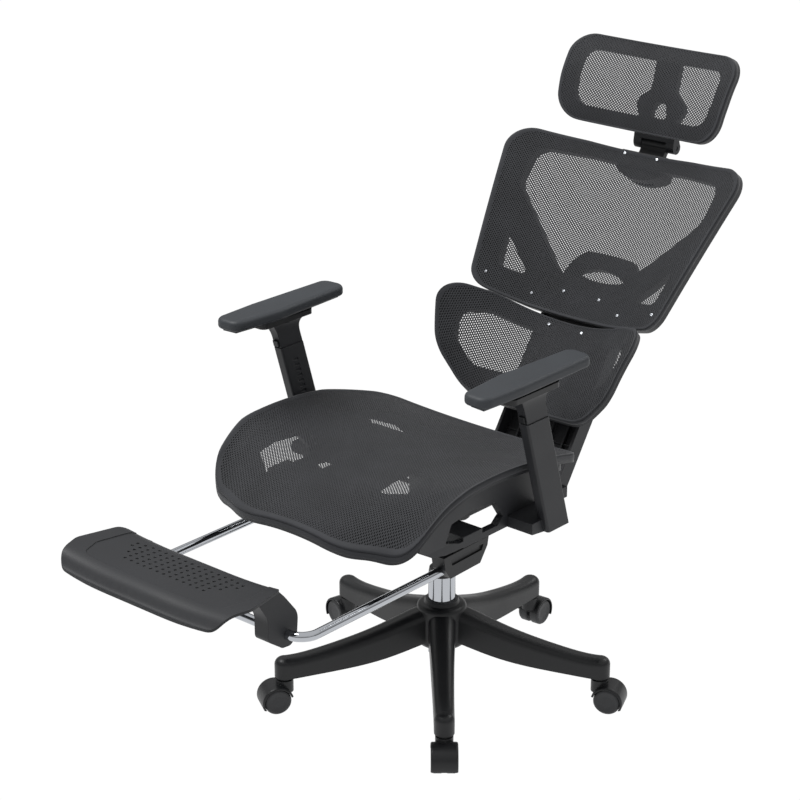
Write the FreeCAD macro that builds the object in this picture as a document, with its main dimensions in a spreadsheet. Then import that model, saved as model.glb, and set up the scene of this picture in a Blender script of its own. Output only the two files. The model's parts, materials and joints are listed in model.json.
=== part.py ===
import FreeCAD, Part
import math
import os
import re

import Sketcher
from FreeCAD import Placement, Rotation, Vector

# Reclining office chair with a sliding footrest, in millimetres.
# The sitter faces -Y and +X is on the sitter's left. The origin is on the floor
# under the gas column. The chair stands at its lowest, with the back let down to
# its rear stop and the footrest pulled out and turned up.

SIZES = {
    "Five-star base": {
        "base_turn": (-48.87, "angle of the first leg from +X, in degrees"),
        "leg_count": (5, "legs and casters"),
        "leg_reach": (300, "column axis to caster stem"),
        "hub_radius": (46, "outside of the hub"),
        "hub_shoulder": (9, "rounding of the hub's shoulder"),
        "hub_low": (92, "underside of the hub"),
        "hub_top": (178, "top of the hub's collar"),
        "leg_root_width": (50, "leg width at the hub"),
        "leg_tip_width": (36, "leg width at the caster"),
        "leg_low": (66, "underside of the leg's tip"),
        "leg_tip_height": (38, "height of the leg's tip"),
        "leg_wall": (3.5, "wall of the hollow leg"),
    },
    "Casters": {
        "wheel_radius": (25, "caster wheel"),
        "wheel_width": (19, "one of the two wheels"),
        "hood_width": (48, "hood over both wheels"),
        "hood_wall": (4, "hood over the tread"),
        "hood_edge": (3.4, "rounding of the hood's edges"),
        "hood_web": (6, "web between the wheels"),
        "caster_boss": (16, "boss under the leg"),
        "caster_trail": (18, "stem axis to axle"),
        "stem_radius": (5.5, "caster stem"),
        "stem_length": (32, "stem inside the leg"),
        "axle_radius": (3, "wheel axle"),
        "running": (0.05, "radial clearance of a shaft in its bore"),
        "gap": (0.4, "clearance between pieces that move past each other"),
    },
    "Gas lift": {
        "column_radius": (25, "outer tube"),
        "column_wall": (2, "wall of the outer tube"),
        "column_low": (70, "foot of the outer tube"),
        "column_top": (227, "top of the outer tube"),
        "bushing_top": (240, "top of the guide bushing's collar"),
        "bushing_depth": (60, "bushing inside the tube"),
        "cylinder_radius": (14, "pressure cylinder"),
        "cylinder_wall": (3, "wall of the cylinder"),
        "cylinder_low": (96, "foot of the cylinder at the lowest seat height"),
        "rod_radius": (5, "piston rod"),
        "rod_top": (240, "top of the piston"),
    },
    "Seat": {
        "seat_half": (254, "half the seat's width"),
        "seat_front": (-391, "front edge on the centre line"),
        "seat_rear": (108, "rear edge"),
        "seat_rear_half": (226, "half the rear edge"),
        "seat_crest": (512, "highest point of the mesh on the centre line"),
        "seat_side_crest": (544, "highest point of the mesh at the sides"),
        "seat_crest_y": (-170, "where the mesh is highest"),
        "seat_fall": (30, "drop from there to the rear edge on the centre line"),
        "seat_side_fall": (52, "the same drop at the sides"),
        "seat_edge": (461, "front edge of the mesh on the centre line"),
        "seat_edge_rise": (37, "rise of the front edge towards its corners"),
        "seat_roll": (125, "length over which the mesh rolls down to the front edge"),
        "mesh_thick": (2.5, "woven mesh"),
        "ring_width": (36, "plastic ring under the mesh's edge"),
        "ring_depth": (13, "depth of that ring"),
        "platform_low": (421, "underside of the seat's sub-frame"),
        "platform_thick": (20, "depth of the sub-frame's beams"),
        "platform_front": (-215, "front of the front crossbeam"),
        "platform_rear": (70, "rear of the rear crossbeam"),
        "crossbeam": (50, "width of each crossbeam"),
        "rail_in": (60, "inner face of the sub-frame's long rails"),
        "rail_out": (150, "outer face of the sub-frame's long rails"),
        "beam_out": (226, "outer face of the side beams"),
        "beam_thick": (14, "thickness of the side beams"),
        "pan_inset": (20, "seat's edge to the edge of the pan under the mesh"),
        "pan_drop": (30, "mesh to the pan"),
        "pan_wall": (4, "wall of the pan"),
    },
    "Mechanism": {
        "housing_half": (50, "half the tilt housing's width"),
        "housing_low": (364, "underside of the housing"),
        "housing_front": (-34, "front of the housing"),
        "housing_rear": (88, "rear of the housing"),
        "socket_low": (338, "foot of the cone that takes the cylinder"),
        "pivot_y": (60, "recline axis"),
        "pivot_z": (385, "recline axis"),
        "pin_radius": (6, "recline pin"),
        "eye_radius": (19, "eye of the back bar round the pin"),
        "tine_thick": (16, "thickness of each fork arm of the back bar"),
        "lever_radius": (4.5, "lever rods"),
        "lever_z": (398, "height of the lever rods"),
        "lever_reach": (262, "outer end of the levers"),
        "tine_gap": (4, "housing to the fork arms of the back bar"),
        "knob_y": (52, "tension knob"),
        "knob_radius": (17, "tension knob"),
        "lift_lever_y": (-20, "seat height lever"),
        "tilt_lever_y": (30, "recline lock lever"),
    },
    "Arms": {
        "arm_x": (280, "centre of the arm post"),
        "arm_lean": (16.7, "lean of the post, in degrees"),
        "post_foot_y": (-36, "post axis at its foot"),
        "post_low": (417, "foot of the post"),
        "post_top": (632, "top of the outer post"),
        "post_depth": (59, "post, front to rear, level"),
        "post_thick": (20, "post, side to side"),
        "post_wall": (3.5, "wall of the outer post"),
        "sleeve_length": (110, "sleeve inside the post"),
        "plate_top": (694, "top of the plate under the pad"),
        "pad_top": (719, "top of the arm pad"),
        "pad_thick": (19, "arm pad at its rim"),
        "pad_front": (-262, "front of the arm pad"),
        "pad_rear": (28, "rear of the arm pad"),
        "pad_in": (244, "inner edge of the arm pad"),
        "pad_out": (311, "outer edge of the arm pad"),
        "notch_count": (8, "height notches in each post"),
        "notch_pitch": (11, "notch to notch"),
    },
    "Footrest": {
        "rail_x": (194, "centre of the footrest tubes"),
        "tube_radius": (8.25, "footrest tube"),
        "tube_wall": (1.5, "wall of the tube"),
        "tube_z": (376, "height of the tubes"),
        "tube_rear": (-135, "rear end of the tubes, pulled out"),
        "bar_y": (-570, "crossbar"),
        "tube_bend": (32, "bend of the tube, on its centre line"),
        "rail_front": (-243, "front of the rail housing"),
        "rail_rear": (-125, "rear of the rail housing"),
        "rail_half": (14, "half the rail housing's width"),
        "tray_half": (198, "half the tray's width"),
        "tray_front": (-748, "front edge of the tray"),
        "tray_rear": (-598, "rear edge of the tray"),
        "tray_z": (474, "top of the tray"),
        "tray_thick": (4.5, "moulded wall of the tray"),
        "tray_recess": (1.2, "step down to the tray's inner panel"),
        "tray_rim": (26, "rim round the inner panel"),
        "hole_columns": (17, "columns of holes in the tray"),
        "hole_rows": (6, "holes in the longest column"),
        "hole_pitch": (15, "column to column"),
        "hole_step": (11, "hole to hole along a column"),
        "hole_size": (2.6, "radius of a hole"),
        "hook_out": (160, "outer face of the tray's hooks"),
        "hook_width": (30, "width of each hook"),
    },
    "Back": {
        "back_y": (348, "reference point of the upper back"),
        "back_z": (660, "reference point of the upper back"),
        "back_lean": (34, "lean of the upper back, in degrees"),
        "back_low_half": (214, "half the lower edge"),
        "back_top_half": (272, "half the upper edge"),
        "back_height": (326, "lower edge to upper edge"),
        "back_drop": (20, "lower edge below the reference point"),
        "back_band": (40, "width of the frame's band"),
        "frame_depth": (20, "depth of the back frame's section"),
        "spine_half": (88, "half the spine's width"),
        "spine_face": (68, "front of the spine behind the reference plane"),
        "spine_back": (102, "rear of the spine behind the reference plane"),
        "spine_low": (-345, "foot of the spine along the lean"),
        "spine_top": (126, "top of the spine along the lean"),
        "spine_wall": (6, "wall of the spine's channel"),
        "back_travel": (50, "height adjustment of the upper back"),
    },
    "Lumbar panel": {
        "lumbar_y": (222, "lower edge on the centre line"),
        "lumbar_z": (482, "lower edge on the centre line"),
        "lumbar_lean": (48, "lean of its centre line, in degrees"),
        "lumbar_half": (238, "half its width"),
        "lumbar_height": (192, "lower edge to upper edge"),
        "lumbar_pin_y": (330, "axis that it rocks on"),
        "lumbar_pin_z": (545, "axis that it rocks on"),
        "lumbar_pin_radius": (5, "pin that it rocks on"),
        "lumbar_bracket_half": (21, "half the bracket's width"),
        "lumbar_ear": (12, "thickness of the ears on the pin"),
    },
    "Headrest": {
        "knuckle_rise": (33, "tilt axis above the back's upper edge, along the back"),
        "knuckle_back": (96, "tilt axis behind the back's reference plane"),
        "head_forward": (68, "tilt axis to the headrest's lower edge, level"),
        "head_above": (38, "tilt axis to the headrest's lower edge, upright"),
        "head_lean": (21, "lean of the headrest, in degrees"),
        "head_half": (190, "half its width"),
        "head_height": (169, "lower edge to upper edge"),
        "head_band": (30, "width of the frame's band"),
        "knuckle_radius": (11, "barrel at the tilt axis"),
        "knuckle_half": (45, "half the barrel's length"),
        "stalk_half": (28, "half the headrest stalk's width"),
        "stalk_front": (90, "front of the stalk behind the back's reference plane"),
        "stalk_thick": (11, "thickness of the stalk"),
        "stalk_overlap": (40, "stalk inside its guide"),
        "headrest_pin": (4, "pin through the knuckle"),
    },
}
NAMES = {name for group in SIZES.values() for name in group}

doc = FreeCAD.newDocument("RecliningOfficeChair")
sheet = doc.addObject("Spreadsheet::Sheet", "Sizes")
parts = []


def fill_sheet():
    row = 1
    for group, sizes in SIZES.items():
        sheet.set(f"A{row}", group)
        row += 1
        for name, (number, words) in sizes.items():
            sheet.set(f"A{row}", words)
            sheet.set(f"B{row}", str(number))
            sheet.setAlias(f"B{row}", name)
            row += 1
    doc.recompute()


def link(text):
    """A formula that reads its named sizes from the sheet."""
    return re.sub(r"[a-z][a-z_]+", lambda m: "Sizes." + m.group() if m.group() in NAMES else m.group(), str(text))


def size(text):
    """The present value of a formula in millimetres or degrees."""
    return float(sheet.evalExpression(str(text)))


# Sketches and features

def new_body(label):
    body = doc.addObject("PartDesign::Body", label)
    body.Label = label
    parts.append(body)
    return body


def sketch(body, role, shift="0", across="0"):
    """A sketch on one of the body's planes, moved off it by shift and along its own X by across."""
    plane = next(f for f in body.Origin.OriginFeatures if f.Role == role)
    drawing = body.newObject("Sketcher::SketchObject", body.Name + "_sketch")
    drawing.AttachmentSupport = [(plane, "")]
    drawing.MapMode = "FlatFace"
    drawing.setExpression("AttachmentOffset.Base.z", link(shift))
    drawing.setExpression("AttachmentOffset.Base.x", link(across))
    return drawing


def fix_point(drawing, edge, end, x, y):
    for kind, text in (("DistanceX", x), ("DistanceY", y)):
        number = drawing.addConstraint(Sketcher.Constraint(kind, edge, end, size(text)))
        drawing.setExpression(f"Constraints[{number}]", link(text))


def polygon(drawing, points):
    corners = [Vector(size(x), size(y), 0) for x, y in points]
    first = drawing.GeometryCount
    count = len(corners)
    for i in range(count):
        drawing.addGeometry(Part.LineSegment(corners[i], corners[(i + 1) % count]))
    for i, (x, y) in enumerate(points):
        drawing.addConstraint(Sketcher.Constraint("Coincident", first + i, 2, first + (i + 1) % count, 1))
        fix_point(drawing, first + i, 1, x, y)
    return drawing


def rectangle(drawing, low_x, low_y, high_x, high_y):
    return polygon(drawing, [(low_x, low_y), (high_x, low_y), (high_x, high_y), (low_x, high_y)])


def crowned(drawing, left, right, low, high, radius, corners=2):
    """A section with a square foot and its upper corners rounded, or only the right one."""
    reach = size(radius)
    spots = [(left, low), (right, low), (right, f"{high} - ({radius})"), (f"{right} - ({radius})", high)]
    if corners == 2:
        spots += [(f"{left} + {radius}", high), (left, f"{high} - ({radius})")]
    else:
        spots += [(left, high)]
    points = [Vector(size(x), size(y), 0) for x, y in spots]
    count = len(points)
    for i, point in enumerate(points):
        if i == 2 or i == 4 and corners == 2:
            centre = point - (Vector(reach, 0, 0) if i == 2 else Vector(0, reach, 0))
            start = 0 if i == 2 else math.pi / 2
            rim = Part.Circle(centre, Vector(0, 0, 1), reach)
            drawing.addGeometry(Part.ArcOfCircle(rim, start, start + math.pi / 2))
        else:
            drawing.addGeometry(Part.LineSegment(point, points[(i + 1) % count]))
    for i, (x, y) in enumerate(spots):
        drawing.addConstraint(Sketcher.Constraint("Coincident", i, 2, (i + 1) % count, 1))
        fix_point(drawing, i, 1, x, y)
    for i in (2, 4)[:corners]:
        number = drawing.addConstraint(Sketcher.Constraint("Radius", i, reach))
        drawing.setExpression(f"Constraints[{number}]", link(radius))
    return drawing


def circle(drawing, x, y, radius):
    edge =drawing.addGeometry(Part.Circle(Vector(size(x), size(y), 0), Vector(0, 0, 1), size(radius)))
    fix_point(drawing, edge, 3, x, y)
    number = drawing.addConstraint(Sketcher.Constraint("Radius", edge, size(radius)))
    drawing.setExpression(f"Constraints[{number}]", link(radius))
    return drawing


def extrude(body, kind, drawing, length, midplane=False, flip=False):
    feature = body.newObject("PartDesign::" + kind, body.Name + "_" + kind.lower())
    feature.Profile = drawing
    feature.setExpression("Length", link(length))
    feature.Midplane = midplane
    feature.Reversed = flip
    doc.recompute()
    return feature


def pad(body, drawing, length, midplane=False, flip=False):
    return extrude(body, "Pad", drawing, length, midplane, flip)


def pocket(body, drawing, length, midplane=False, flip=False):
    before = body.Shape.Volume
    feature = extrude(body, "Pocket", drawing, length, midplane, flip)
    if body.Shape.Volume > before - 0.001:
        raise RuntimeError(f"{feature.Name} cuts nothing")
    return feature


def turn(body, drawing, axis="V_Axis"):
    feature = body.newObject("PartDesign::Revolution", body.Name + "_turn")
    feature.Profile = drawing
    feature.ReferenceAxis = (drawing, [axis])
    feature.Angle = 360
    doc.recompute()
    return feature


def loft(body, drawings, kind="AdditiveLoft"):
    feature = body.newObject("PartDesign::" + kind, body.Name + "_loft")
    feature.Profile = drawings[0]
    feature.Sections = drawings[1:]
    doc.recompute()
    return feature


def ring_pattern(body, features, drawing, count):
    feature = body.newObject("PartDesign::PolarPattern", body.Name + "_ring")
    feature.Originals = features
    feature.Axis = (drawing, ["V_Axis"])
    feature.Angle = 360
    feature.setExpression("Occurrences", link(count))
    body.Tip = feature
    doc.recompute()
    return feature


def round_edges(body, radius, wanted):
    """Fillet the edges of the body's present shape that wanted picks."""
    base = body.Tip
    names = [f"Edge{i + 1}" for i, edge in enumerate(base.Shape.Edges) if wanted(edge)]
    feature = body.newObject("PartDesign::Fillet", body.Name + "_fillet")
    feature.Base = (base, names)
    feature.setExpression("Radius", link(radius))
    doc.recompute()
    return feature


def runs_along(axis):
    """A test for straight edges along X, Y or Z."""
    def test(edge):
        if not isinstance(edge.Curve, Part.Line):
            return False
        return abs(getattr(edge.Curve.Direction, axis)) > 0.999
    return test


def place(piece, x="0", y="0", z="0", axis=None, angle=None):
    """Put a piece at a point, turned about an axis by an angle in degrees."""
    if axis:
        piece.Placement = Placement(Vector(0, 0, 0), Rotation(axis, 1))
        piece.setExpression("Placement.Rotation.Angle", link(angle))
    for letter, text in (("x", x), ("y", y), ("z", z)):
        piece.setExpression("Placement.Base." + letter, link(text))


# Panels: mesh skins and the moulded frames behind them

def smooth(points):
    curve = Part.BSplineCurve()
    curve.interpolate([Vector(*p) for p in points])
    return curve


def rounded_face(points):
    """A flat face through (x, y, corner radius) points, each corner an arc."""
    corners = [(Vector(x, y, 0), radius) for x, y, radius in points]
    edges = []
    ends = []
    for i, (corner, radius) in enumerate(corners):
        before = (corners[i - 1][0] - corner).normalize()
        after = (corners[(i + 1) % len(corners)][0] - corner).normalize()
        half = before.getAngle(after) / 2
        reach = radius / math.tan(half)
        middle = (before + after).normalize()
        centre = corner + middle * (radius / math.sin(half))
        ends.append((corner + before * reach, centre - middle * radius, corner + after * reach))
    for i, (start, middle, end) in enumerate(ends):
        edges.append(Part.Arc(start, middle, end).toShape())
        edges.append(Part.LineSegment(end, ends[(i + 1) % len(ends)][0]).toShape())
    return Part.Face(Part.Wire(edges))


def mirrored(half):
    """A closed outline from its +X half, listed from the lower edge to the upper."""
    return half + [(-x, y, radius) for x, y, radius in reversed(half)]


def height_surface(height, x_range, y_range, steps):
    """A smooth surface whose height over the plane is height(x, y)."""
    rows = []
    for i in range(steps[0] + 1):
        x = x_range[0] + (x_range[1] - x_range[0]) * i / steps[0]
        row = []
        for j in range(steps[1] + 1):
            y = y_range[0] + (y_range[1] - y_range[0]) * j / steps[1]
            row.append(Vector(x, y, height(x, y)))
        rows.append(row)
    surface = Part.BSplineSurface()
    surface.interpolate(rows)
    return surface.toShape()


def dished(outline, surface, top, depth):
    """The part of a curved sheet that lies over a flat outline. top is the sheet's
    front face below the surface and depth its thickness, both along local Z."""
    sheet_solid = surface.translated(Vector(0, 0, -top)).extrude(Vector(0, 0, -depth))
    low = sheet_solid.BoundBox.ZMin - 1
    prism = outline.translated(Vector(0, 0, low)).extrude(Vector(0, 0, sheet_solid.BoundBox.ZMax + 1 - low))
    shape = prism.common(sheet_solid)
    return shape.Solids[0] if len(shape.Solids) == 1 else shape


def feature(label, shape):
    piece = doc.addObject("Part::Feature", label)
    piece.Label = label
    piece.Shape = shape
    parts.append(piece)
    return piece


fill_sheet()
val = {name: size(name) for name in NAMES}


# Five-star base

def star_base():
    body = new_body("star_base")
    hub = polygon(sketch(body, "XZ_Plane"), [
        ("column_radius", "hub_low"),
        ("hub_radius - 3", "hub_low"),
        ("hub_radius", "hub_low + 5"),
        ("hub_radius", "hub_top - 10"),
        ("column_radius + 8", "hub_top - 7"),
        ("column_radius + 5", "hub_top"),
        ("column_radius", "hub_top"),
    ])
    turn(body, hub)
    round_edges(body, "hub_shoulder", lambda edge: abs(edge.BoundBox.ZMin - size("hub_top - 10")) < 0.1
                and edge.BoundBox.ZLength < 0.1)
    # Along the leg: distance from the column, half width, underside, top.
    stations = [
        ("hub_radius * 0.7", "leg_root_width * 0.5", "leg_low + 38", "hub_top - 14"),
        ("leg_reach * 0.31", "leg_root_width * 0.44", "leg_low + 20", "hub_top - 33"),
        ("leg_reach * 0.48", "leg_root_width * 0.41", "leg_low + 10", "hub_top - 49"),
        ("leg_reach * 0.65", "leg_root_width * 0.385", "leg_low + 5", "hub_top - 61"),
        ("leg_reach * 0.83", "leg_tip_width * 0.51", "leg_low + 2", "leg_low + leg_tip_height + 3"),
        ("leg_reach", "leg_tip_width / 2", "leg_low", "leg_low + leg_tip_height"),
    ]
    leg = loft(body, [
        crowned(sketch(body, "YZ_Plane", along), f"-{half}", half, low, high, f"{half} * 0.75")
        for along, half, low, high in stations])
    # The leg ends in a dome of its own width round the caster's stem.
    tip = crowned(sketch(body, "XZ_Plane", "0", "leg_reach"), "0", "leg_tip_width / 2", "leg_low",
                  "leg_low + leg_tip_height", "leg_tip_width / 2 * 0.75", corners=1)
    boss = turn(body, tip)
    hollow = loft(body, [
        polygon(sketch(body, "YZ_Plane", along), [
            (f"leg_wall - {half}", f"{low} - 2"),
            (f"{half} - leg_wall", f"{low} - 2"),
            (f"({half} - leg_wall) * 0.7", f"{high} - leg_wall * 3"),
            (f"(leg_wall - {half}) * 0.7", f"{high} - leg_wall * 3"),
        ])
        for along, half, low, high in stations[1:5]], "SubtractiveLoft")
    socket = pocket(body, circle(sketch(body, "XY_Plane", "leg_low"), "leg_reach", "0", "stem_radius + running"),
                    "stem_length + 1", flip=True)
    ring_pattern(body, [leg, boss, hollow, socket], hub, "leg_count")
    place(body, axis=Vector(0, 0, 1), angle="base_turn")


def caster(number):
    """The fork and the wheel pair of one caster, trailing outwards along +X."""
    turned = f"base_turn + {number - 1} * 360 / leg_count"
    spot = (f"leg_reach * cos(({turned}) * 1 deg)", f"leg_reach * sin(({turned}) * 1 deg)")

    fork = new_body(f"caster_fork_{number}")
    hood = circle(sketch(fork, "XZ_Plane"), "caster_trail", "wheel_radius", "wheel_radius + gap + hood_wall")
    pad(fork, hood, "hood_width", midplane=True)
    round_edges(fork, "hood_edge", lambda edge: isinstance(edge.Curve, Part.Circle))
    boss_low = "wheel_radius * 1.5"
    boss = circle(sketch(fork, "XY_Plane", boss_low), "0", "0", "caster_boss")
    pad(fork, boss, f"leg_low - gap * 2 - 4 - {boss_low}")
    neck = circle(sketch(fork, "XY_Plane", "leg_low - gap * 2 - 5"), "0", "0", "caster_boss - 3")
    pad(fork, neck, "5")
    stem = circle(sketch(fork, "XY_Plane", "leg_low - gap * 3"), "0", "0", "stem_radius")
    pad(fork, stem, "stem_length")
    for side in ("", "-"):
        wheel_room = circle(sketch(fork, "XZ_Plane", f"{side}(hood_web / 2 + hood_width / 2)"),
                            "caster_trail", "wheel_radius", "wheel_radius + gap")
        pocket(fork, wheel_room, "hood_width", midplane=True)
    # The hood ends above the floor, and higher up on the side of the stem.
    open_side = polygon(sketch(fork, "XZ_Plane"), [
        ("-60", "-20"),
        ("60", "-20"),
        ("60", "wheel_radius * 0.5"),
        ("caster_trail - 8", "wheel_radius * 0.5"),
        ("caster_trail - 18", "wheel_radius * 1.3"),
        ("-60", "wheel_radius * 1.3"),
    ])
    pocket(fork, open_side, "hood_width * 2", midplane=True)
    axle_hole = circle(sketch(fork, "XZ_Plane"), "caster_trail", "wheel_radius", "axle_radius + running")
    pocket(fork, axle_hole, "hood_width", midplane=True)
    place(fork, spot[0], spot[1], "0", Vector(0, 0, 1), turned)

    wheels = new_body(f"caster_wheels_{number}")
    inner = "hood_web / 2 + gap"
    outer = "hood_web / 2 + gap + wheel_width"
    half = [
        ("axle_radius", inner),
        ("wheel_radius - 2", inner),
        ("wheel_radius", f"{inner} + 2"),
        ("wheel_radius", f"{outer} - 4"),
        ("wheel_radius - 2", f"{outer} - 1"),
        ("wheel_radius - 5", outer),
        ("wheel_radius * 0.45", f"{outer} - 1.5"),
        ("0", f"{outer} - 1.5"),
    ]
    profile = [(radius, f"-({along})") for radius, along in half] + half[::-1]
    turn(wheels, polygon(sketch(wheels, "XY_Plane"), profile))
    x = f"{spot[0]} + caster_trail * cos(({turned}) * 1 deg)"
    y = f"{spot[1]} + caster_trail * sin(({turned}) * 1 deg)"
    place(wheels, x, y, "wheel_radius", Vector(0, 0, 1), turned)


# Gas lift

def gas_lift():
    tube = new_body("column_tube")
    turn(tube, polygon(sketch(tube, "XZ_Plane"), [
        ("rod_radius + running * 2", "column_low"),
        ("column_radius", "column_low"),
        ("column_radius", "column_top"),
        ("column_radius - column_wall * 2", "column_top"),
        ("column_radius - column_wall * 2", "column_low + 4"),
        ("rod_radius + running * 2", "column_low + 4"),
    ]))

    bushing = new_body("column_bushing")
    turn(bushing, polygon(sketch(bushing, "XZ_Plane"), [
        ("cylinder_radius + running", "column_top - bushing_depth"),
        ("column_radius - column_wall * 2", "column_top - bushing_depth"),
        ("column_radius - column_wall * 2", "column_top"),
        ("column_radius", "column_top"),
        ("column_radius - 2", "bushing_top"),
        ("cylinder_radius + running", "bushing_top"),
    ]))

    rod = new_body("piston_rod")
    turn(rod, polygon(sketch(rod, "XZ_Plane"), [
        ("0", "column_low - 5"),
        ("rod_radius * 1.7", "column_low - 5"),
        ("rod_radius * 1.7", "column_low - gap"),
        ("rod_radius", "column_low - gap"),
        ("rod_radius", "column_low + 4 + gap"),
        ("rod_radius * 2.4", "column_low + 4 + gap"),
        ("rod_radius * 2.4", "column_low + 10"),
        ("rod_radius", "column_low + 10"),
        ("rod_radius", "rod_top - 12"),
        ("cylinder_radius - cylinder_wall - running", "rod_top - 12"),
        ("cylinder_radius - cylinder_wall - running", "rod_top"),
        ("0", "rod_top"),
    ]))

    cylinder = new_body("gas_cylinder")
    turn(cylinder, polygon(sketch(cylinder, "XZ_Plane"), [
        ("rod_radius + running", "cylinder_low"),
        ("cylinder_radius", "cylinder_low"),
        ("cylinder_radius", "socket_low - 8"),
        ("cylinder_radius - 1.5", "housing_low + 20"),
        ("3", "housing_low + 20"),
        ("3", "housing_low + 28"),
        ("0", "housing_low + 28"),
        ("0", "socket_low - 40"),
        ("cylinder_radius - cylinder_wall", "socket_low - 40"),
        ("cylinder_radius - cylinder_wall", "cylinder_low + 12"),
        ("rod_radius + running", "cylinder_low + 12"),
    ]))


# Tilt mechanism, its pin, levers and knob

def mechanism():
    body = new_body("mechanism_housing")
    side = polygon(sketch(body, "YZ_Plane"), [
        ("housing_front", "platform_low"),
        ("housing_front", "housing_low + 20"),
        ("housing_front + 30", "housing_low"),
        ("housing_rear - 30", "housing_low - 4"),
        ("housing_rear", "housing_low + 12"),
        ("housing_rear", "platform_low"),
    ])
    pad(body, side, "housing_half * 2", midplane=True)
    flange = rectangle(sketch(body, "XY_Plane", "platform_low - 6"),
                       "-rail_out", "housing_front", "rail_out", "housing_rear")
    pad(body, flange, "6")
    inside = polygon(sketch(body, "YZ_Plane"), [
        ("housing_front + 4", "platform_low - 6"),
        ("housing_front + 4", "housing_low + 22"),
        ("housing_front + 32", "housing_low + 4"),
        ("housing_rear - 32", "housing_low"),
        ("housing_rear - 4", "housing_low + 15"),
        ("housing_rear - 4", "platform_low - 6"),
    ])
    pocket(body, inside, "housing_half * 2 - 8", midplane=True)
    top_opening = rectangle(sketch(body, "XY_Plane", "platform_low - 7"),
                            "12 - housing_half", "housing_front + 16", "housing_half - 12", "housing_rear - 16")
    pocket(body, top_opening, "8", flip=True)
    pad(body, circle(sketch(body, "XY_Plane", "socket_low"), "0", "0", "cylinder_radius + 8"),
        "housing_low + 18 - socket_low")
    cone = polygon(sketch(body, "XZ_Plane"), [
        ("0", "socket_low - 8"),
        ("cylinder_radius", "socket_low - 8"),
        ("cylinder_radius - 1.5", "housing_low + 20"),
        ("0", "housing_low + 20"),
    ])
    groove = body.newObject("PartDesign::Groove", "mechanism_socket")
    groove.Profile = cone
    groove.ReferenceAxis = (cone, ["V_Axis"])
    groove.Angle = 360
    doc.recompute()
    holes = circle(sketch(body, "YZ_Plane"), "pivot_y", "pivot_z", "pin_radius")
    pocket(body, holes, "housing_half * 2 + 10", midplane=True)
    for along in ("lift_lever_y", "tilt_lever_y"):
        lever_hole = circle(sketch(body, "YZ_Plane", "-housing_half"), along, "lever_z", "lever_radius + running")
        pocket(body, lever_hole, "12", midplane=True)
    screw_hole = circle(sketch(body, "XY_Plane", "housing_low - 6"), "0", "knob_y", "rod_radius + running")
    pocket(body, screw_hole, "12", flip=True)

    pin = new_body("recline_pin")
    shank = circle(sketch(pin, "YZ_Plane"), "pivot_y", "pivot_z", "pin_radius")
    pad(pin, shank, "(housing_half + tine_gap + tine_thick + 4) * 2", midplane=True)
    for sign in ("", "-"):
        head = circle(sketch(pin, "YZ_Plane", f"{sign}(housing_half + tine_gap + tine_thick + gap + 2)"),
                      "pivot_y", "pivot_z", "pin_radius + 4")
        pad(pin, head, "4", midplane=True)

    for label, along, drop in (("lift_lever", "lift_lever_y", "4"), ("tilt_lever", "tilt_lever_y", "4")):
        lever = new_body(label)
        rod = circle(sketch(lever, "YZ_Plane", "-lever_reach"), along, "lever_z", "lever_radius")
        pad(lever, rod, "lever_reach - housing_half + 12")
        for low, length in (("-housing_half + 4 + gap", "5"), ("-housing_half - gap - 4", "4")):
            collar = circle(sketch(lever, "YZ_Plane", low), along, "lever_z", "lever_radius + 3")
            pad(lever, collar, length)
        paddle = polygon(sketch(lever, "YZ_Plane", "-lever_reach - 12"), [
            (f"{along} - 20", f"lever_z - {drop} - 6"),
            (f"{along} + 5", "lever_z - 6"),
            (f"{along} + 8", "lever_z"),
            (f"{along} + 5", "lever_z + 6"),
            (f"{along} - 18", f"lever_z - {drop} + 2"),
        ])
        pad(lever, paddle, "60")
        round_edges(lever, "2", lambda edge: runs_along("x")(edge) and edge.Length > 30)

    knob = new_body("tension_knob")
    turn(knob, polygon(sketch(knob, "XZ_Plane"), [
        ("0", "housing_low - 44"),
        ("knob_radius - 4", "housing_low - 44"),
        ("knob_radius", "housing_low - 40"),
        ("knob_radius", "housing_low - 18"),
        ("knob_radius - 3", "housing_low - 12"),
        ("rod_radius + 3", "housing_low - 10"),
        ("rod_radius + 3", "housing_low - 5"),
        ("rod_radius", "housing_low - 5"),
        ("rod_radius", "housing_low + 6"),
        ("rod_radius + 3", "housing_low + 6"),
        ("rod_radius + 3", "housing_low + 9"),
        ("0", "housing_low + 9"),
    ]))
    place(knob, "0", "knob_y", "0")


# Seat

def seat_height(x, y):
    """Top of the seat's mesh."""
    middle = val["seat_crest"] - val["seat_fall"] * ((max(y, -250) - val["seat_crest_y"]) / 280) ** 2
    side = val["seat_side_crest"] - val["seat_side_fall"] * ((max(y, -210) - val["seat_crest_y"]) / 280) ** 2
    top = middle + (side - middle) * (abs(x) / val["seat_half"]) ** 2.2
    edge_y = val["seat_front"] + 50 * (min(abs(x), 235) / 215) ** 2
    edge = val["seat_edge"] + val["seat_edge_rise"] * (max(abs(x) - 187, 0) / 63) ** 2
    share = min(max(1 - (y - edge_y) / val["seat_roll"], 0), 1.15)
    return top - (top - edge) * share ** 2


def seat_outline(inset):
    """The seat's plan, drawn in by an inset."""
    half = val["seat_half"] - inset
    front = val["seat_front"] - 4 + inset
    rear = val["seat_rear"] - inset
    rear_half = val["seat_rear_half"] - inset * 0.8
    return rounded_face(mirrored([
        (half * 0.433, front, 200),
        (half * 0.945, front + 50, 60 - inset * 0.5),
        (half, front + 145 - inset * 0.5, 60),
        (half, rear - 148, 100),
        (rear_half, rear, 45 - inset * 0.4),
    ]))


def flat_box(x_range, y_range, z_range):
    """A box from its low and high corner along each axis."""
    low = Vector(x_range[0], y_range[0], z_range[0])
    return Part.makeBox(x_range[1] - x_range[0], y_range[1] - y_range[0], z_range[1] - z_range[0], low)


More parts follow.
